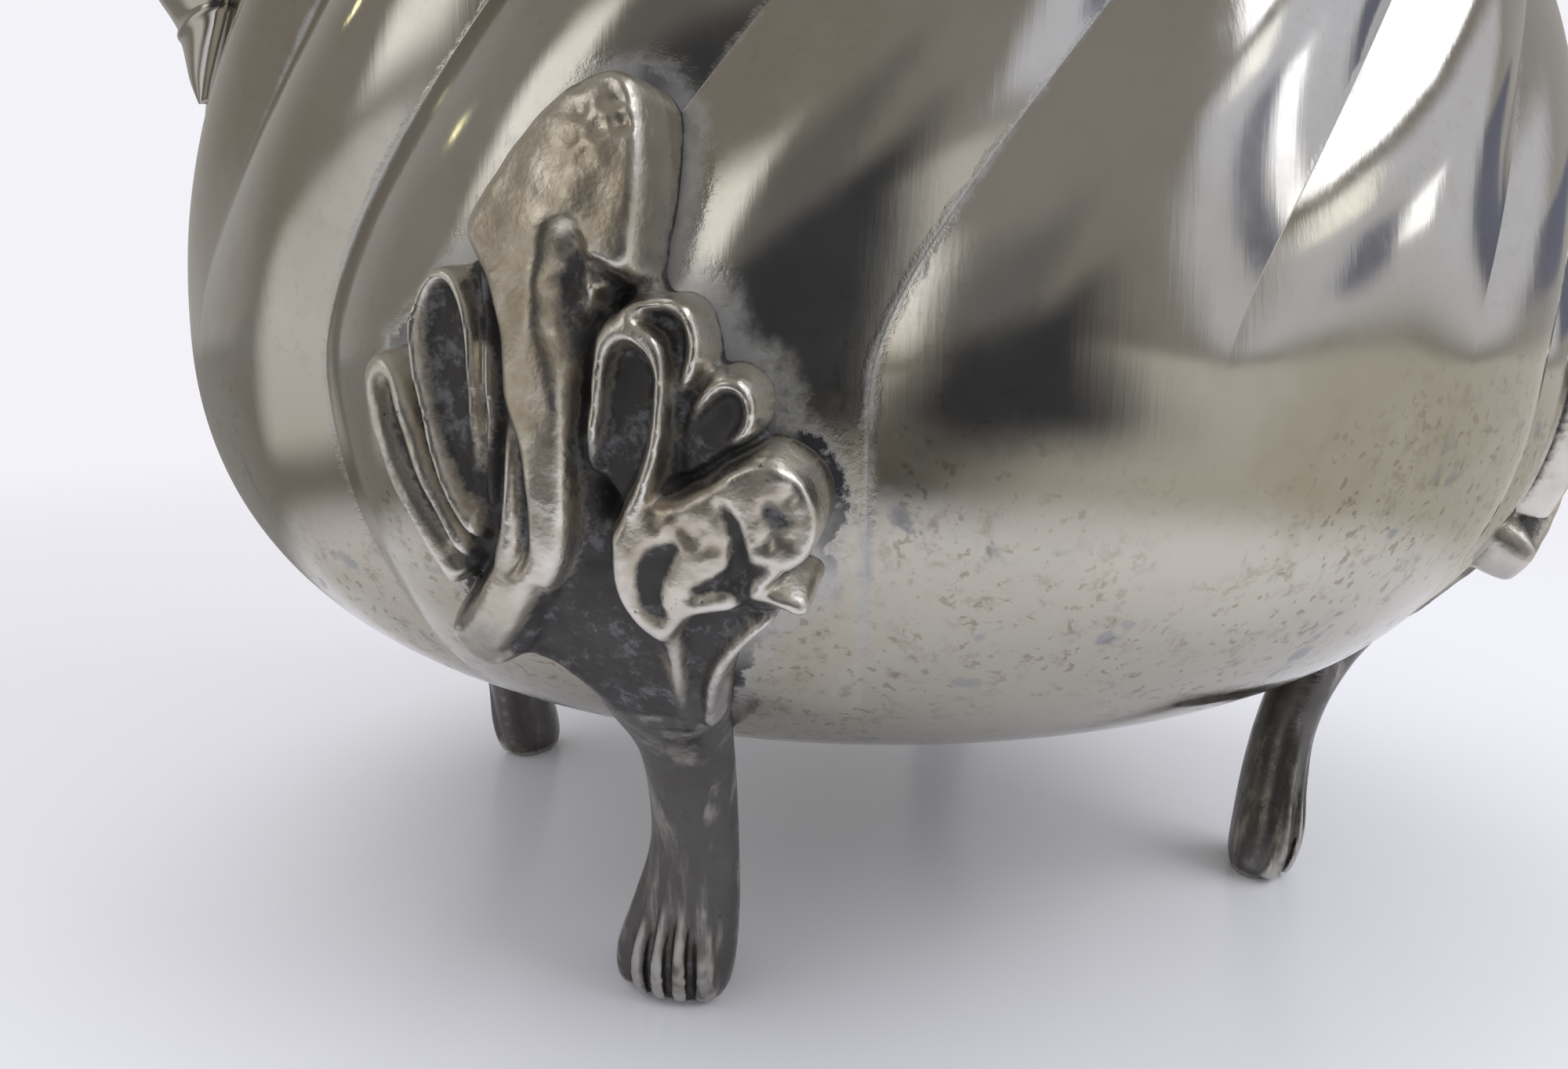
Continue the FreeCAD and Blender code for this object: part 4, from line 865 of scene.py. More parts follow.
@dataclass
class LeafPlan:
    """Relief of the leaf on a flat plan of the belly, and its dark places of painted shade with oxide."""

    side: Array
    height: Array
    step: float
    floor: float = -24.0
    wall_slope: float = 4.0
    crown_reach: float = 4.0
    ridge_foot: float = 0.55
    pit_seed: int = 11
    pit_depth: float = 0.4
    roll_pace: Span = (2.1, 0.7)
    ripple_pace: Span = (-0.4, 1.7)
    wave_height: float = 0.06
    ridge_reach: int = 7
    floor_dark: float = 0.8
    shadow_dark: float = 0.72
    soot_reach: Span = (0.1, 3.6)

    def __post_init__(self) -> None:
        """Work out the relief over the body's crests, and the dark places of painted shade with oxide."""
        sketch = Sketch(self.side, self.height)
        relief = self.raised(sketch)
        self.dark = np.zeros(relief.shape)
        cuts = [(sketch.stroke(groove.line), groove) for groove in LEAF_GROOVES.values()]
        cuts += [(sketch.patch(hollow.outline), hollow) for hollow in LEAF_HOLLOWS.values()]
        # Inside each cut the darkness is painted shade with oxide.
        for away, cut in cuts:
            inside = 1 - eased(-cut.soft, cut.soft, away)
            relief = relief - cut.depth * inside
            self.dark = np.maximum(self.dark, cut.dark * inside)
        for outline in LEAF_SHADOWS:
            inside = 1 - eased(-0.4, 0.5, sketch.patch(outline))
            self.dark = np.maximum(self.dark, self.shadow_dark * inside)
        relief = self.pitted(sketch, relief)
        rolls, ripples = (np.sin(across * sketch.side + upward * sketch.height)
                          for across, upward in (self.roll_pace, self.ripple_pace))
        self.relief = softened(relief + self.wave_height * (rolls * ripples), 2)
        self.slope = np.hypot(*np.gradient(self.relief, self.step))

    def raised(self, sketch: Sketch) -> Array:
        """Relief of the lobes and ridges, before anything is cut.

        Args:
            sketch: The plan's distances.

        Returns:
            Relief at each place of the plan.
        """
        relief = np.full(sketch.side.shape, self.floor)
        for lobe in LEAF_LOBES.values():
            away = sketch.patch(lobe.outline)
            inward = np.clip(-away / lobe.edge, 0, 1)
            swell = lobe.crown * np.clip(-away / self.crown_reach, 0, 1)
            rise = lobe.top * np.sqrt(1 - (1 - inward) ** 2) + swell
            relief = np.maximum(relief, np.where(away < 0, rise, -self.wall_slope * away))
        for ridge in LEAF_RIDGES.values():
            away = sketch.stroke(ridge.line)
            inward = np.clip(-away / max(width for _, _, width in ridge.line), 0, 1)
            foot = self.ridge_foot * ridge.height
            rise = foot + (ridge.height - foot) * np.sqrt(1 - (1 - inward) ** 2)
            relief = np.maximum(relief, np.where(away < 0, rise, foot - self.wall_slope * away))
        return relief

    def pitted(self, sketch: Sketch, relief: Array) -> Array:
        """Relief with small pits where the cast is worn.

        Args:
            sketch: The plan's distances.
            relief: Relief so far.

        Returns:
            Relief with the pits.
        """
        chance = np.random.default_rng(self.pit_seed)
        for side, height, spread, count in PIT_FIELDS:
            for _ in range(count):
                middle = (side + spread * chance.normal(), height + 1.2 * spread * chance.normal())
                away = np.hypot(sketch.side - middle[0], sketch.height - middle[1])
                relief = relief - self.pit_depth * (1 - eased(0.1, chance.uniform(0.3, 0.5), away))
        return relief

    def cells(self, side: Array, height: Array) -> tuple[Array, Array]:
        """Rows and columns of the plan at places."""
        rows = np.clip(((height - self.height[0]) / self.step).astype(int), 0, len(self.height) - 1)
        return rows, np.clip(((side - self.side[0]) / self.step).astype(int), 0, len(self.side) - 1)

    def sunken(self) -> Array:
        """How far each place lies below the ridges around it, from 0 to 1, on flat ground only, joined with
        the dark places; all of it is painted shade with oxide.
        """
        ridge = self.relief
        shifts = range(-self.ridge_reach, self.ridge_reach + 1)
        for axis in (0, 1):
            ridge = np.max([np.roll(ridge, shift, axis) for shift in shifts], axis=0)
        flat = 1 - eased(1.6, 3.5, self.slope)
        low = self.floor_dark * eased(0.5, 1.3, ridge - self.relief) * flat * (self.relief > 0.25)
        return softened(np.maximum(low, self.dark), 2)

    def walls(self) -> Array:
        """Where the plan has steep outer walls, from 0 to 1."""
        outer = 1 - eased(0.05, 0.3, softened(self.dark, 8))
        return softened(eased(1.8, 3.2, self.slope) * (self.relief > 0.1) * outer, 1)

    def closeness(self, side: Array, height: Array) -> Array:
        """How near places on the body lie to the leaf's edge, from 0 to 1."""
        outside = np.clip(-self.relief[self.cells(side, height)] / self.wall_slope, 0, None)
        within = (side > self.side[0]) & (side < self.side[-1]) & (height > self.height[0])
        return np.where(within, 1 - eased(*self.soot_reach, outside), 0.0)


@dataclass
class CastFoot:
    """One cast foot: a leaf over the belly, a leg and a paw, sculpted as a distance field.

    The leg's stations are (height, distance out, lean to the side, half width, half depth). Each toe runs
    between two shares of the half width, at its top and at the table.
    """

    flutes: Flutes
    step: float = 0.2
    quick_coarseness: float = 1.75
    side_range: Span = (-11.0, 20.0)
    height_range: Span = (-0.6, 64.0)
    radius_range: Span = (36.0, 66.5)
    plan_foot: float = 16.0
    plan_margin: float = 2.0
    leaf_foot: float = 26.0
    sink: float = 0.35
    steepest: float = 6.0
    blend: float = 1.3
    toe_top: float = 11.0
    toe_fade: Span = (4.0, -3.0)
    toe_girth: Span = (0.45, 0.50)
    toe_shift: float = -0.25
    toe_foot: float = 0.5
    toe_blend: float = 0.25
    groove_girth: Span = (0.14, 0.22)
    groove_shift: float = 0.2
    cavity_reach: float = 0.7
    nodes: tuple[str, ...] = ("foot_handle_back", "foot_spout_back", "foot_spout_front", "foot_handle_front")
    leg: list[tuple[float, float, float, float, float]] = field(default_factory=lambda: [
        (36.0, 57.5, 3.6, 3.0, 1.0), (31.0, 53.4, 3.3, 5.2, 2.8), (26.0, 49.6, 2.9, 4.3, 3.2),
        (21.6, 45.4, 2.3, 3.4, 3.0), (17.2, 43.0, 1.7, 3.2, 2.8), (13.0, 41.7, 1.2, 3.3, 2.7),
        (8.6, 41.0, 0.4, 3.9, 2.8), (4.3, 40.6, -0.5, 4.4, 2.9), (1.6, 40.2, -0.9, 4.2, 2.7),
        (0.0, 39.9, -1.0, 3.5, 2.1),
    ])
    toes: Outline = field(default_factory=lambda: [
        (-0.82, -0.86), (-0.50, -0.42), (-0.16, -0.05), (0.18, 0.33), (0.55, 0.72)])

    def __post_init__(self) -> None:
        """Lay out the plan of the leaf."""
        self.plan = self.leaf_plan(self.step)

    def leaf_plan(self, step: float) -> LeafPlan:
        """The leaf's plan on a grid of the given step."""
        height = np.arange(self.plan_foot, self.height_range[1] + self.plan_margin, step)
        return LeafPlan(np.arange(*self.side_range, step), height, step)

    def leaf_field(
        self, plan: LeafPlan, radius: Array, height: Array, side: Array
    ) -> tuple[Array, Array, Array]:
        """Distance to the leaf, and to the body under it, on the sculpting grid.

        Args:
            plan: The leaf's plan with the grid's own step.
            radius: Distances from the pot's axis.
            height: Heights over the table.
            side: Places around, as arc lengths at the belly.

        Returns:
            The two fields, negative inside, and the height of the body's nearest place.
        """
        places = np.stack(np.meshgrid(radius, height, indexing="ij"), axis=-1)
        found = self.flutes.nearest(places.reshape(-1, 2))
        lift, foot_height = (part.reshape(places.shape[:2]) for part in found)
        lift = lift[..., None].astype(np.float32)
        place = np.clip((foot_height - self.plan_foot) / plan.step, 0, len(plan.height) - 1.001)
        row = place.astype(int)
        share = (place - row)[..., None].astype(np.float32)
        steep = np.sqrt(1 + np.minimum(plan.slope, self.steepest) ** 2).astype(np.float32)
        relief = plan.relief.astype(np.float32)
        leaf = (lift - (relief[row] * (1 - share) + relief[row + 1] * share)) / steep[row]
        angle = math.radians(self.flutes.first_angle) + side / self.flutes.belly
        skin = lift + self.flutes.dip(angle[None, None, :], foot_height[..., None]).astype(np.float32)
        return np.maximum(leaf, -(skin + self.sink)), skin, foot_height

    def leg_field(self, radius: Array, height: Array, side: Array) -> Array:
        """Distance to the leg and its toes on the sculpting grid, negative inside.

        Args:
            radius: Distances from the pot's axis.
            height: Heights over the table.
            side: Places around, as arc lengths at the belly.

        Returns:
            The field.
        """
        line = smooth_line(sorted(self.leg), 8)
        middle, lean, wide, deep = (np.interp(height, line[:, 0], line[:, i]) for i in range(1, 5))
        out = radius[:, None, None] * np.cos(side / self.flutes.belly)[None, None, :]
        across = radius[:, None, None] * np.sin(side / self.flutes.belly)[None, None, :]
        z = height[None, :, None]

        def front(track: Array) -> Array:
            """How far out the front of the leg lies along an upright track."""
            spread = np.clip(np.abs((track - lean) / wide), 0, 0.97)
            return middle + deep * np.sqrt(1 - spread ** 2)

        def tube(track: Array, shift: float, girth: Array) -> Array:
            """Distance to a round bar along a track, shifted out from the leg's front."""
            away = np.hypot(across - track[None, :, None], out - (front(track) + shift)[None, :, None])
            return away - girth[None, :, None]

        x = (across - lean[None, :, None]) / wide[None, :, None]
        y = (out - middle[None, :, None]) / deep[None, :, None]
        leg = (np.hypot(x, y) - 1) * np.minimum(wide, deep)[None, :, None]
        leg = np.maximum(leg, np.maximum(z - max(self.leg)[0], -z))
        share = np.clip((self.toe_top - height) / self.toe_top, 0, 1)
        tracks = [lean + wide * (upper + (lower - upper) * share) for upper, lower in self.toes]
        fade_high, fade_low = (self.toe_top + offset for offset in self.toe_fade)
        thin, swell = self.toe_girth
        girth = (thin + swell * eased(0.1, 0.9, share)) * eased(fade_high, fade_low, height)
        for track in tracks:
            toe = tube(track, self.toe_shift, girth)
            toe = np.maximum(toe, np.maximum(z - fade_high, self.toe_foot - z))
            leg = soft_union(leg, toe, self.toe_blend)
        thin, swell = self.groove_girth
        girth = thin + swell * eased(0.05, 0.6, share)
        for first, second in zip(tracks, tracks[1:]):
            groove = tube((first + second) / 2, self.groove_shift, girth)
            leg = np.maximum(leg, -np.maximum(groove, z - self.toe_top))
        return leg.astype(np.float32)

    def shade_and_wear(self, points: Array, buried: Array, foot_height: Array) -> Array:
        """Painted shade with oxide in the hollows, and worn edges, at points of the sculpt.

        Args:
            points: Points as (radius, height, side).
            buried: Share of metal around each point.
            foot_height: Height of the body's place under each point.

        Returns:
            Columns of painted shade with oxide, and of worn edges, from 0 to 1.
        """
        # Painted shade with oxide: places closed in by metal, and the leaf's sunken and dark places, are
        # darkened.
        hollow_shade_and_oxide = np.clip((buried - 0.5) / 0.28, 0, 1)
        worn = np.clip((0.45 - buried) / 0.2, 0, 1)
        proud = points[:, 0] - self.flutes.crest(np.clip(points[:, 1], self.flutes.underside, None))
        on_leaf = (points[:, 1] > self.leaf_foot) & (proud > 0.1)
        cells = self.plan.cells(points[:, 2], foot_height)
        hollow_shade_and_oxide = np.maximum(hollow_shade_and_oxide, np.where(on_leaf, self.plan.sunken()[cells], 0))
        worn = np.maximum(worn, np.where(on_leaf, self.plan.walls()[cells], 0))
        return np.stack([hollow_shade_and_oxide, worn * (1 - hollow_shade_and_oxide)], axis=1)

    def sculpt(self) -> tuple[Array, Faces, dict[str, Array]]:
        """Make the first foot, at the first crease's heading.

        Returns:
            Its points and faces, and its painted shade with oxide and its worn edges, by name.
        """
        step = self.step * 1.0
        plan = self.plan
        limits = (self.radius_range, self.height_range, self.side_range)
        grid = tuple(np.arange(*limit, step) for limit in limits)
        leaf, skin, foot_height = self.leaf_field(plan, *grid)
        leg = np.maximum(self.leg_field(*grid), -(skin + self.sink))
        solid = soft_union(leaf, leg, self.blend)
        solid = np.maximum(solid, -grid[1][None, :, None].astype(np.float32))
        points, faces = surface_net(solid, grid)
        points = relaxed(points, faces)
        filled = np.minimum(solid, skin) < 0
        # Share of metal around each point, which darkens the hollows as painted shade with oxide.
        buried = blurred(filled.astype(np.float32), max(int(self.cavity_reach / step), 1))
        cells = [((points[:, i] - axis[0]) / step + 0.5).astype(int) for i, axis in enumerate(grid)]
        cells = tuple(np.clip(cell, 0, length - 1) for cell, length in zip(cells, buried.shape))
        shade_and_wear = self.shade_and_wear(points, buried[cells], foot_height[cells[:2]])
        shade_and_wear = relaxed(shade_and_wear, faces, (0.6,) * 5)
        angle = math.radians(self.flutes.first_angle) + points[:, 2] / self.flutes.belly
        placed = around_axis(points[:, 0], angle, points[:, 1])
        return placed, faces, {"hollow_shade_and_oxide": shade_and_wear[:, 0], "worn": shade_and_wear[:, 1]}

    def build(self, material: Material) -> None:
        """Make the four feet from one sculpt.

        Args:
            material: The cast silver.
        """
        points, faces, shade_and_wear = self.sculpt()
        for quarter, node in enumerate(self.nodes):
            angle = math.radians(90 * quarter)
            cosine, sine = math.cos(angle), math.sin(angle)
            turn = np.array([[cosine, -sine, 0], [sine, cosine, 0], [0, 0, 1]])
            piece = add_piece(f"cast_{node}", points @ turn.T, faces, Body.POT, material)
            for name, values in shade_and_wear.items():
                add_shade(piece, name, values)
            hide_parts(node)


def soft_union(first: Array, second: Array, blend: float) -> Array:
    """Union of two distance fields with a rounded inner corner.

    Args:
        first: One field.
        second: The other field.
        blend: Width of the rounding.

    Returns:
        The joined field.
    """
    near = np.clip(0.5 + 0.5 * (second - first) / blend, 0, 1)
    return second + (first - second) * near - blend * near * (1 - near)


def softened(values: Array, rounds: int) -> Array:
    """Plan values averaged with their neighbours.

    Args:
        values: Values on a plan.
        rounds: How often to average.

    Returns:
        The softened values.
    """
    for _ in range(rounds):
        for axis in (0, 1):
            padded = np.pad(values, [(1, 1) if axis == i else (0, 0) for i in (0, 1)], mode="edge")
            length = values.shape[axis]
            before, after = np.take(padded, range(length), axis), np.take(padded, range(2, length + 2), axis)
            values = 0.5 * values + 0.25 * (before + after)
    return values


def relaxed(points: Array, faces: Faces, pulls: tuple[float, ...] = (0.55, -0.5) * 4) -> Array:
    """Points eased towards their neighbours and back, which takes out the steps of the sculpting grid.

    Args:
        points: The points, or other values for each point in columns.
        faces: Faces between them.
        pulls: Share of the way to the neighbours' middle, one for each pass.

    Returns:
        The eased points.
    """
    quads = np.array(faces)
    starts, ends = quads.ravel(), np.roll(quads, -1, axis=1).ravel()
    count = np.bincount(starts, minlength=len(points))[:, None]
    for pull in pulls:
        columns = [np.bincount(starts, points[ends, i], len(points)) for i in range(points.shape[1])]
        middle = np.stack(columns, axis=1) / count
        points = points + pull * (middle - points)
    return points


def blurred(values: Array, reach: int) -> Array:
    """Mean over boxes around each cell, twice along each axis.

    Args:
        values: Values on a three-way grid.
        reach: Cells to each side.

    Returns:
        Blurred values.
    """
    for _ in range(2):
        for axis in range(3):
            pad = [(0, 0)] * 3
            pad[axis] = (reach + 1, reach)
            total = np.cumsum(np.pad(values, pad, mode="edge"), axis=axis, dtype=np.float32)
            length = values.shape[axis]
            high = np.take(total, range(2 * reach + 1, 2 * reach + 1 + length), axis=axis)
            low = np.take(total, range(0, length), axis=axis)
            values = (high - low) / (2 * reach + 1)
    return values


def surface_net(solid: Array, axes: tuple[Array, Array, Array]) -> tuple[Array, Faces]:
    """Mesh of the zero level of a field.

    Args:
        solid: Field on a three-way grid, negative inside.
        axes: Coordinates of the grid along each axis.

    Returns:
        Points and faces.
    """
    inside = solid < 0
    count = np.zeros(tuple(length - 1 for length in solid.shape), np.int8)
    corners = [(i, j, k) for i in (0, 1) for j in (0, 1) for k in (0, 1)]
    for i, j, k in corners:
        count += inside[i:solid.shape[0] - 1 + i, j:solid.shape[1] - 1 + j, k:solid.shape[2] - 1 + k]
    cells = np.argwhere((count > 0) & (count < 8))
    number = np.full(count.shape, -1, np.int64)
    number[tuple(cells.T)] = np.arange(len(cells))
    total, crossings = np.zeros((len(cells), 3)), np.zeros(len(cells))
    for start in corners:
        for axis in range(3):
            if start[axis] == 1:
                continue
            end = list(start)
            end[axis] = 1
            low, high = cells + start, cells + end
            first, second = solid[tuple(low.T)], solid[tuple(high.T)]
            crosses = (first < 0) != (second < 0)
            share = np.where(crosses, first / np.where(crosses, first - second, 1), 0)
            place = low.astype(float)
            place[:, axis] += share
            total += place * crosses[:, None]
            crossings += crosses
    places = total / crossings[:, None]
    points = np.stack([axes[i][0] + places[:, i] * (axes[i][1] - axes[i][0]) for i in range(3)], axis=1)
    faces = []
    for axis in range(3):
        first_way, second_way = (axis + 1) % 3, (axis + 2) % 3
        ahead = [slice(None)] * 3
        ahead[axis] = slice(1, None)
        behind = [slice(None)] * 3
        behind[axis] = slice(None, -1)
        change = inside[tuple(ahead)].astype(np.int8) - inside[tuple(behind)].astype(np.int8)
        for sign in (1, -1):
            edges = np.argwhere(change == sign)
            for way in (first_way, second_way):
                edges = edges[(edges[:, way] > 0) & (edges[:, way] < count.shape[way])]
            ring = []
            for back_first, back_second in ((0, 0), (1, 0), (1, 1), (0, 1)):
                cell = edges.copy()
                cell[:, first_way] -= back_first
                cell[:, second_way] -= back_second
                ring.append(number[tuple(cell.T)])
            quads = np.stack(ring if sign == 1 else ring[::-1], axis=1)
            faces.extend(map(tuple, quads.tolist()))
    return points, faces


# Body


@dataclass
class PotBody:
    """The fluted body as a thin shell, dense enough for mirror reflections."""

    flutes: Flutes
    foot: CastFoot
    wall: float = 1.0
    polish_reach: float = 0.9
    steps_per_flute: int = 28

    def ring_angles(self) -> tuple[Array, Array]:
        """Flute numbers and phases of the columns, closer together near the creases."""
        phase = 0.5 * (1 - np.cos(np.pi * np.arange(self.steps_per_flute) / self.steps_per_flute))
        flute = np.repeat(np.arange(self.flutes.count), self.steps_per_flute)
        return flute, np.tile(phase, self.flutes.count)

    def skin(self, rows: Array) -> tuple[Array, Array]:
        """Points over rows of the outline, and how near each is to a crease.

        Args:
            rows: Rows of (radius, height).

        Returns:
            Points row by row, and the nearness.
        """
        flute, phase = self.ring_angles()
        pitch = 2 * math.pi / self.flutes.count
        radius, z = rows[:, :1], rows[:, 1:]
        depth = self.flutes.crease_depth(np.round(flute + phase)[None, :], z)
        dip = depth * (1 - np.sin(np.pi * phase))[None, :]
        heading = math.radians(self.flutes.first_angle) + (flute + phase)[None, :] * pitch
        points = around_axis(radius - dip, heading + self.flutes.twist(z), z)
        away = np.minimum(phase, 1 - phase)[None, :] * pitch * radius
        near = np.clip(depth / self.flutes.depth, 0, 1) * np.exp(-(away / self.polish_reach) ** 2)
        return points.reshape(-1, 3), near.reshape(-1)

    def inner_rows(self, rows: Array) -> Array:
        """Rows moved inwards by the wall, square to the outline."""
        run = np.gradient(rows, axis=0)
        run /= np.linalg.norm(run, axis=1)[:, None]
        normal = np.stack([run[:, 1], -run[:, 0]], axis=1)
        normal[0], normal[-1] = (0, -1), (1, 0)
        return rows - self.wall * normal

    def soot(self, points: Array) -> Array:
        """How near the points lie to the edge of a foot's leaf."""
        heading = np.degrees(np.arctan2(points[:, 1], points[:, 0])) - self.flutes.first_angle
        heading = (heading + 45) % 90 - 45
        return self.foot.plan.closeness(np.radians(heading) * self.flutes.belly, points[:, 2])

    def build(self, material: Material) -> None:
        """Make the shell in place of its solid.

        Args:
            material: The worn silver.
        """
        outer_rows = self.flutes.outline()
        inner_rows = self.inner_rows(self.flutes.outline(24, 40, 12))
        outer, crease = self.skin(outer_rows)
        inner, inner_crease = self.skin(inner_rows)
        columns = self.flutes.count * self.steps_per_flute
        faces = grid_faces(len(outer_rows), columns)
        start = len(outer)
        faces += [face[::-1] for face in grid_faces(len(inner_rows), columns, start)]
        for low, high in ((0, start), (start + (len(inner_rows) - 1) * columns, start - columns)):
            for column in range(columns):
                following = (column + 1) % columns
                faces.append((low + column, high + column, high + following, low + following))
        points = np.vstack([outer, inner])
        piece = add_piece("fluted_body", points, faces, Body.POT, material)
        soot = self.soot(outer)
        add_shade(piece, "crease", np.concatenate([np.maximum(crease, 0.6 * soot), 0.3 * inner_crease]))
        add_shade(piece, "soot", np.concatenate([soot, np.zeros(len(inner))]))
        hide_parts("body_shell")


# Spout's drop


@dataclass
class SpoutDrop:
    """Small pointed drop that ends the spout's root on the body, from stations (height, half width, lift)."""

    flutes: Flutes
    heading: float = 180.0
    rise: float = 1.6
    sink: float = 1.2
    sides: int = 24
    stations: Stroke = field(default_factory=lambda: [
        (77.0, 7.4, 4.4), (75.5, 7.5, 4.9), (74.2, 7.2, 4.6), (72.8, 6.6, 3.4), (71.8, 5.9, 2.6),
        (71.2, 5.7, 2.5), (70.7, 5.3, 2.1), (69.5, 4.2, 1.6), (68.2, 2.7, 1.1), (67.2, 1.4, 0.6),
        (66.4, 0.4, 0.15),
    ])

    def build(self, material: Material) -> None:
        """Make the drop in place of its solid.

        Args:
            material: The worn silver.
        """
        rows = smooth_line(self.stations, 4)
        turn = np.linspace(0, np.pi, self.sides)
        points = []
        for height, half_width, lift in rows:
            z = height + self.rise * half_width / rows[0, 1] * np.cos(turn) ** 2
            out = np.append(lift * np.sin(turn), [-self.sink, -self.sink])
            z = np.append(z, [z[-1], z[0]])
            side = half_width * np.append(np.cos(turn), [-1.0, 1.0])
            radius = self.flutes.crest(z)
            angle = math.radians(self.heading) + side / radius
            points.append(around_axis(radius + out, angle, z))
        columns = self.sides + 2
        faces = grid_faces(len(rows), columns)
        faces.append(tuple(range(columns))[::-1])
        faces.append(tuple(range((len(rows) - 1) * columns, len(rows) * columns)))
        piece = add_piece("pointed_drop", np.vstack(points), faces, Body.POT, material)
        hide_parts("spout_drop")


# Stage


@dataclass(frozen=True)
class Card:
    """Soft rectangle of light or shade, seen only in the pot's reflections. Angles are in degrees."""

    azimuth: float
    elevation: float
    half_width: float
    half_height: float
    level: float
    tint: Colour
    soft: float

    def colour(self) -> Colour:
        """Its brightness and tint together."""
        return tuple(self.level * channel for channel in self.tint)

    def cover(self, nodes: Nodes, direction: Socket) -> Socket:
        """How much of the card lies in a direction.

        Args:
            nodes: The nodes to add to.
            direction: Socket with the direction.

        Returns:
            Socket with the cover, from 0 to 1.
        """
        heading, rise = math.radians(self.azimuth), math.radians(self.elevation)
        flat = math.cos(rise)
        middle = Vector((flat * math.cos(heading), flat * math.sin(heading), math.sin(rise)))
        across = Vector((-math.sin(heading), math.cos(heading), 0.0))
        ahead = nodes.dot(direction, middle)
        cover = nodes.ramp(ahead, 0.05, 0.15)
        for axis, half in ((across, self.half_width), (middle.cross(across), self.half_height)):
            reach = math.tan(math.radians(half))
            offset = nodes.chain("DIVIDE", nodes.dot(direction, axis), ahead)
            away = nodes.chain("ABSOLUTE", offset, 0.0)
            inside = nodes.ramp(away, reach * (1 + self.soft), reach * (1 - self.soft))
            cover = nodes.product(cover, inside)
        return cover


# Cards by azimuth, elevation, half width, half height, level, tint and softness
CARDS: dict[str, Card] = {
    "wide_fill": Card(-36, 16, 28, 15, 0.72, (0.96, 0.97, 1.05), 0.2),
    "main_light": Card(-38, 46, 20, 10, 2.4, (0.97, 0.99, 1.04), 0.08),
    "streak": Card(-54, 26, 5, 4, 1.6, (1.0, 1.0, 0.95), 0.3),
    "low_light": Card(-33, 13, 5, 3.0, 2.2, (0.97, 0.99, 1.05), 0.2),
    "dark_card": Card(-45, 12, 5, 5, 0.24, (0.9, 0.95, 1.25), 0.4),
    "far_dark_card": Card(2, 8, 9, 5, 0.18, (0.9, 0.95, 1.25), 0.2),
    "left_low_fill": Card(186, -9, 24, 9, 0.70, (1.0, 0.98, 0.95), 0.4),
    "left_fill": Card(202, 20, 13, 13, 1.2, (1.0, 0.98, 0.94), 0.5),
    "shade_upper": Card(-122, 16, 18, 14, 0.17, (1.0, 0.98, 0.95), 0.5),
    "shade": Card(-110, -5, 29, 13, 0.05, (1.0, 1.05, 1.2), 0.42),
    "shade_below": Card(-146, -32, 18, 15, 0.12, (1.0, 0.97, 0.92), 0.5),
    "small_lamp": Card(153, 27, 1.6, 1.2, 3.0, (1.0, 0.96, 0.55), 0.4),
}


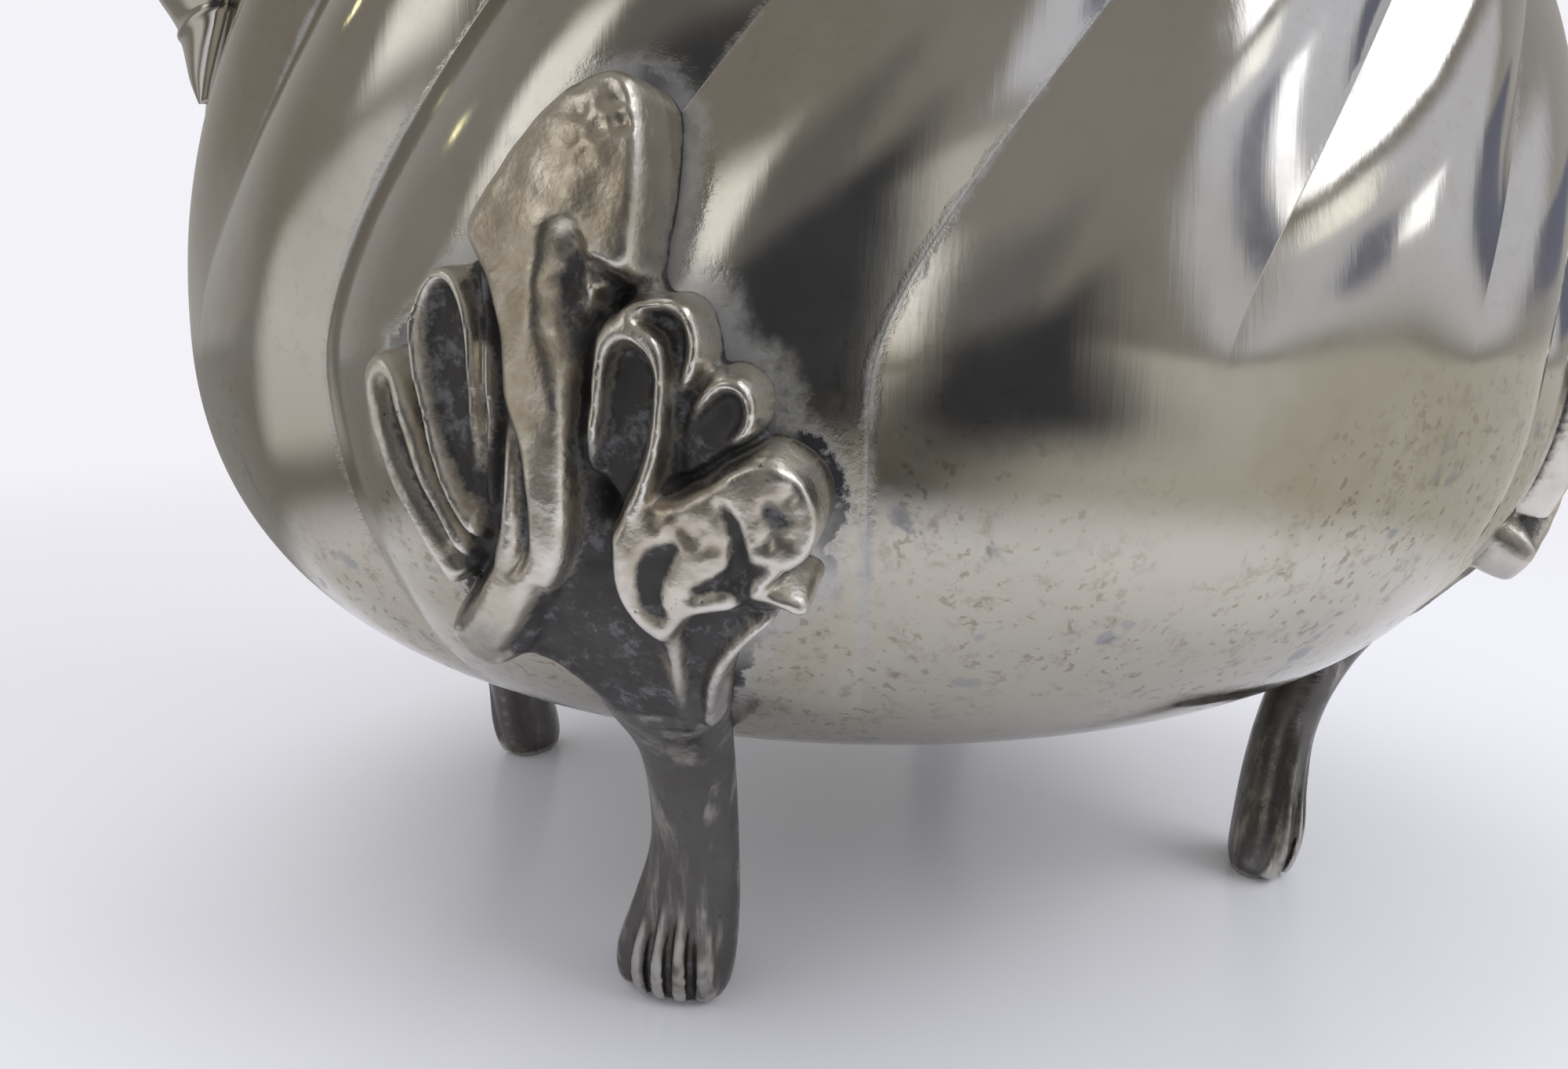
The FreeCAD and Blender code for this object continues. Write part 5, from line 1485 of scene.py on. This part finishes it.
@dataclass
class Studio:
    """Floor, light and camera."""

    camera_place: Triple = (-56.43, -108.40, 50.03)
    camera_heading: float = -27.5
    camera_yaw: float = 0.0614
    camera_pitch: float = 0.1746
    camera_roll: float = 0.006
    lens: float = 27.76
    sensor: float = 36.0
    backdrop: Colour = (0.90, 0.89, 0.94)
    ambient: Colour = (0.90, 0.905, 0.94)
    floor: Colour = (0.83, 0.83, 0.88)
    floor_roughness: float = 0.22
    floor_fade: Span = (0.13, 0.40)
    mirrored_fade: Span = (0.085, 0.125)
    near_side: Colour = (0.28, 0.26, 0.235)
    far_side: Colour = (0.40, 0.385, 0.37)
    table: Colour = (0.62, 0.60, 0.555)
    table_shade: Colour = (0.27, 0.26, 0.245)
    bright_heading: float = -30.0
    floor_size: float = 4.0
    view_height: float = 50.0

    def add_camera(self) -> None:
        """Camera at the photograph's place."""
        data = bpy.data.cameras.new("camera")
        data.lens, data.sensor_width = self.lens, self.sensor
        data.clip_start = 0.001
        camera = bpy.data.objects.new("camera", data)
        heading = math.radians(self.camera_heading) + self.camera_yaw
        turn = (Matrix.Rotation(heading, 4, "Z") @ Matrix.Rotation(math.pi / 2 - self.camera_pitch, 4, "X")
                @ Matrix.Rotation(self.camera_roll, 4, "Z"))
        camera.matrix_world = Matrix.Translation(Vector(self.camera_place) * MM) @ turn
        bpy.context.scene.collection.objects.link(camera)
        bpy.context.scene.camera = camera

    def surround(self, nodes: Nodes, direction: Socket) -> Socket:
        """Colour of the studio in a direction, as polished metal sees it.

        Args:
            nodes: The nodes to add to.
            direction: Socket with the direction.

        Returns:
            Socket with the colour.
        """
        front = Vector((self.camera_place[0], self.camera_place[1], 0.0)).normalized()
        near = nodes.ramp(nodes.dot(direction, front), -0.7, 0.1)
        colour = nodes.mix(near, self.far_side, self.near_side)
        below = nodes.ramp(nodes.dot(direction, Vector((0, 0, -1))), 0.0, 0.05)
        heading = math.radians(self.bright_heading)
        bright = Vector((math.cos(heading), math.sin(heading), 0))
        lit = nodes.ramp(nodes.dot(direction, bright), -0.1, 0.65)
        colour = nodes.mix(below, colour, nodes.mix(lit, self.table_shade, self.table))
        for card in CARDS.values():
            colour = nodes.mix(card.cover(nodes, direction), colour, card.colour())
        return colour

    def add_floor(self) -> None:
        """Pale floor with a soft sheen that fades into the backdrop."""
        material, nodes, shader = new_material("pale_floor")
        place = nodes.place()
        shader.inputs["Base Color"].default_value = (*self.floor, 1)
        shader.inputs["Roughness"].default_value = self.floor_roughness
        raised = nodes.vector("SUBTRACT", place, (0.0, 0.0, self.view_height * MM)).outputs[0]
        direction = nodes.vector("NORMALIZE", raised).outputs[0]
        reach = nodes.vector("LENGTH", place).outputs["Value"]
        path = nodes.add("ShaderNodeLightPath")
        seen_colour = nodes.mix(path.outputs["Is Glossy Ray"], self.backdrop, self.surround(nodes, direction))
        glow = nodes.add("ShaderNodeEmission", {"Color": seen_colour, "Strength": 1.0})
        kinds = ("Is Camera Ray", "Is Glossy Ray", "Is Transmission Ray")
        seen = nodes.highest(*(path.outputs[kind] for kind in kinds))
        # In the pot's reflections the floor beyond a short reach glows with the studio's colours: a painted
        # reflection, with a lit and a shaded table colour.
        mirrored_far = nodes.product(nodes.ramp(reach, *self.mirrored_fade), path.outputs["Is Glossy Ray"])
        far = nodes.highest(nodes.product(nodes.ramp(reach, *self.floor_fade), seen), mirrored_far)
        mixed = nodes.add("ShaderNodeMixShader", {0: far, 1: shader.outputs[0], 2: glow.outputs[0]})
        output = next(node for node in nodes.tree.nodes if node.type == "OUTPUT_MATERIAL")
        nodes.feed(output.inputs["Surface"], mixed.outputs[0])
        half = self.floor_size / 2
        mesh = bpy.data.meshes.new("floor")
        corners = [(-half, -half, 0), (half, -half, 0), (half, half, 0), (-half, half, 0)]
        mesh.from_pydata(corners, [], [(0, 1, 2, 3)])
        mesh.materials.append(material)
        floor = bpy.data.objects.new("floor", mesh)
        bpy.context.scene.collection.objects.link(floor)

    def add_world(self) -> None:
        """Even light from all around, a pale backdrop, and the studio's cards for polished metal."""
        world = bpy.data.worlds.new("studio")
        world.use_nodes = True
        bpy.context.scene.world = world
        nodes = Nodes(world.node_tree)
        light = nodes.add("ShaderNodeBackground", {"Color": self.ambient, "Strength": 1.0})
        seen = nodes.add("ShaderNodeBackground", {"Color": self.backdrop, "Strength": 1.0})
        direction = nodes.add("ShaderNodeTexCoord").outputs["Generated"]
        around = self.surround(nodes, direction)
        mirrored = nodes.add("ShaderNodeBackground", {"Color": around, "Strength": 1.0})
        path = nodes.add("ShaderNodeLightPath")
        clear = nodes.highest(path.outputs["Is Camera Ray"], path.outputs["Is Transmission Ray"])
        mixed = nodes.add("ShaderNodeMixShader", {0: clear, 1: light.outputs[0], 2: seen.outputs[0]})
        mixed = nodes.add("ShaderNodeMixShader", {0: path.outputs["Is Glossy Ray"], 1: mixed.outputs[0],
                                                  2: mirrored.outputs[0]})
        nodes.add("ShaderNodeOutputWorld", {"Surface": mixed.outputs[0]})

    def add_lamp(self, name: str, place: Triple, size: Span, watts: float, colour: Colour) -> None:
        """Soft rectangular lamp that looks at the pot's belly and is not mirrored in it.

        Args:
            name: Name of the lamp.
            place: Its middle, in millimetres.
            size: Its width and height, in millimetres.
            watts: Its power.
            colour: Its colour.
        """
        data = bpy.data.lights.new(name, "AREA")
        data.shape, data.energy, data.color = "RECTANGLE", watts, colour
        data.size, data.size_y = size[0] * MM, size[1] * MM
        lamp = bpy.data.objects.new(name, data)
        lamp.location = Vector(place) * MM
        aim = Vector((0, 0, self.view_height * MM)) - lamp.location
        lamp.rotation_euler = aim.to_track_quat("-Z", "Y").to_euler()
        lamp.visible_glossy = False
        bpy.context.scene.collection.objects.link(lamp)

    def build(self) -> None:
        """Set up floor, light and camera."""
        self.add_camera()
        self.add_floor()
        self.add_world()
        self.add_lamp("window", (416, -350, 490), (560, 300), 2.2, (0.93, 0.96, 1.0))
        self.add_lamp("overhead", (-150, 250, 900), (900, 700), 2.8, (1.0, 0.98, 0.95))
        bpy.context.scene.view_settings.view_transform = "Standard"


def dress_solids(finishes: dict[Slot, Material]) -> None:
    """Give the solids that stay in view their finish and smooth shading.

    Args:
        finishes: Material for each slot.
    """
    slots = {part["node"]: part["material_slot"] for part in frame["record"]["subparts"]}
    for name, node in frame["nodes"].items():
        node.data.materials.clear()
        node.data.materials.append(finishes[Slot(slots[name])])
        node.data.shade_smooth()


def main() -> None:
    """Build the pot's pieces in order, then the stage."""
    logging.basicConfig(level=logging.INFO, format="%(name)s %(message)s")
    silver = WornSilver().material()
    finishes = {Slot.SILVER: silver, Slot.CAST: CastSilver().material(), Slot.FITTINGS: silver,
                Slot.WOOD: DarkWood().material()}
    flutes = Flutes()
    foot = CastFoot(flutes)
    dress_solids(finishes)
    PotBody(flutes, foot).build(silver)
    foot.build(finishes[Slot.CAST])
    SpoutDrop(flutes).build(silver)
    Studio().build()


if __name__ == "__main__":
    main()
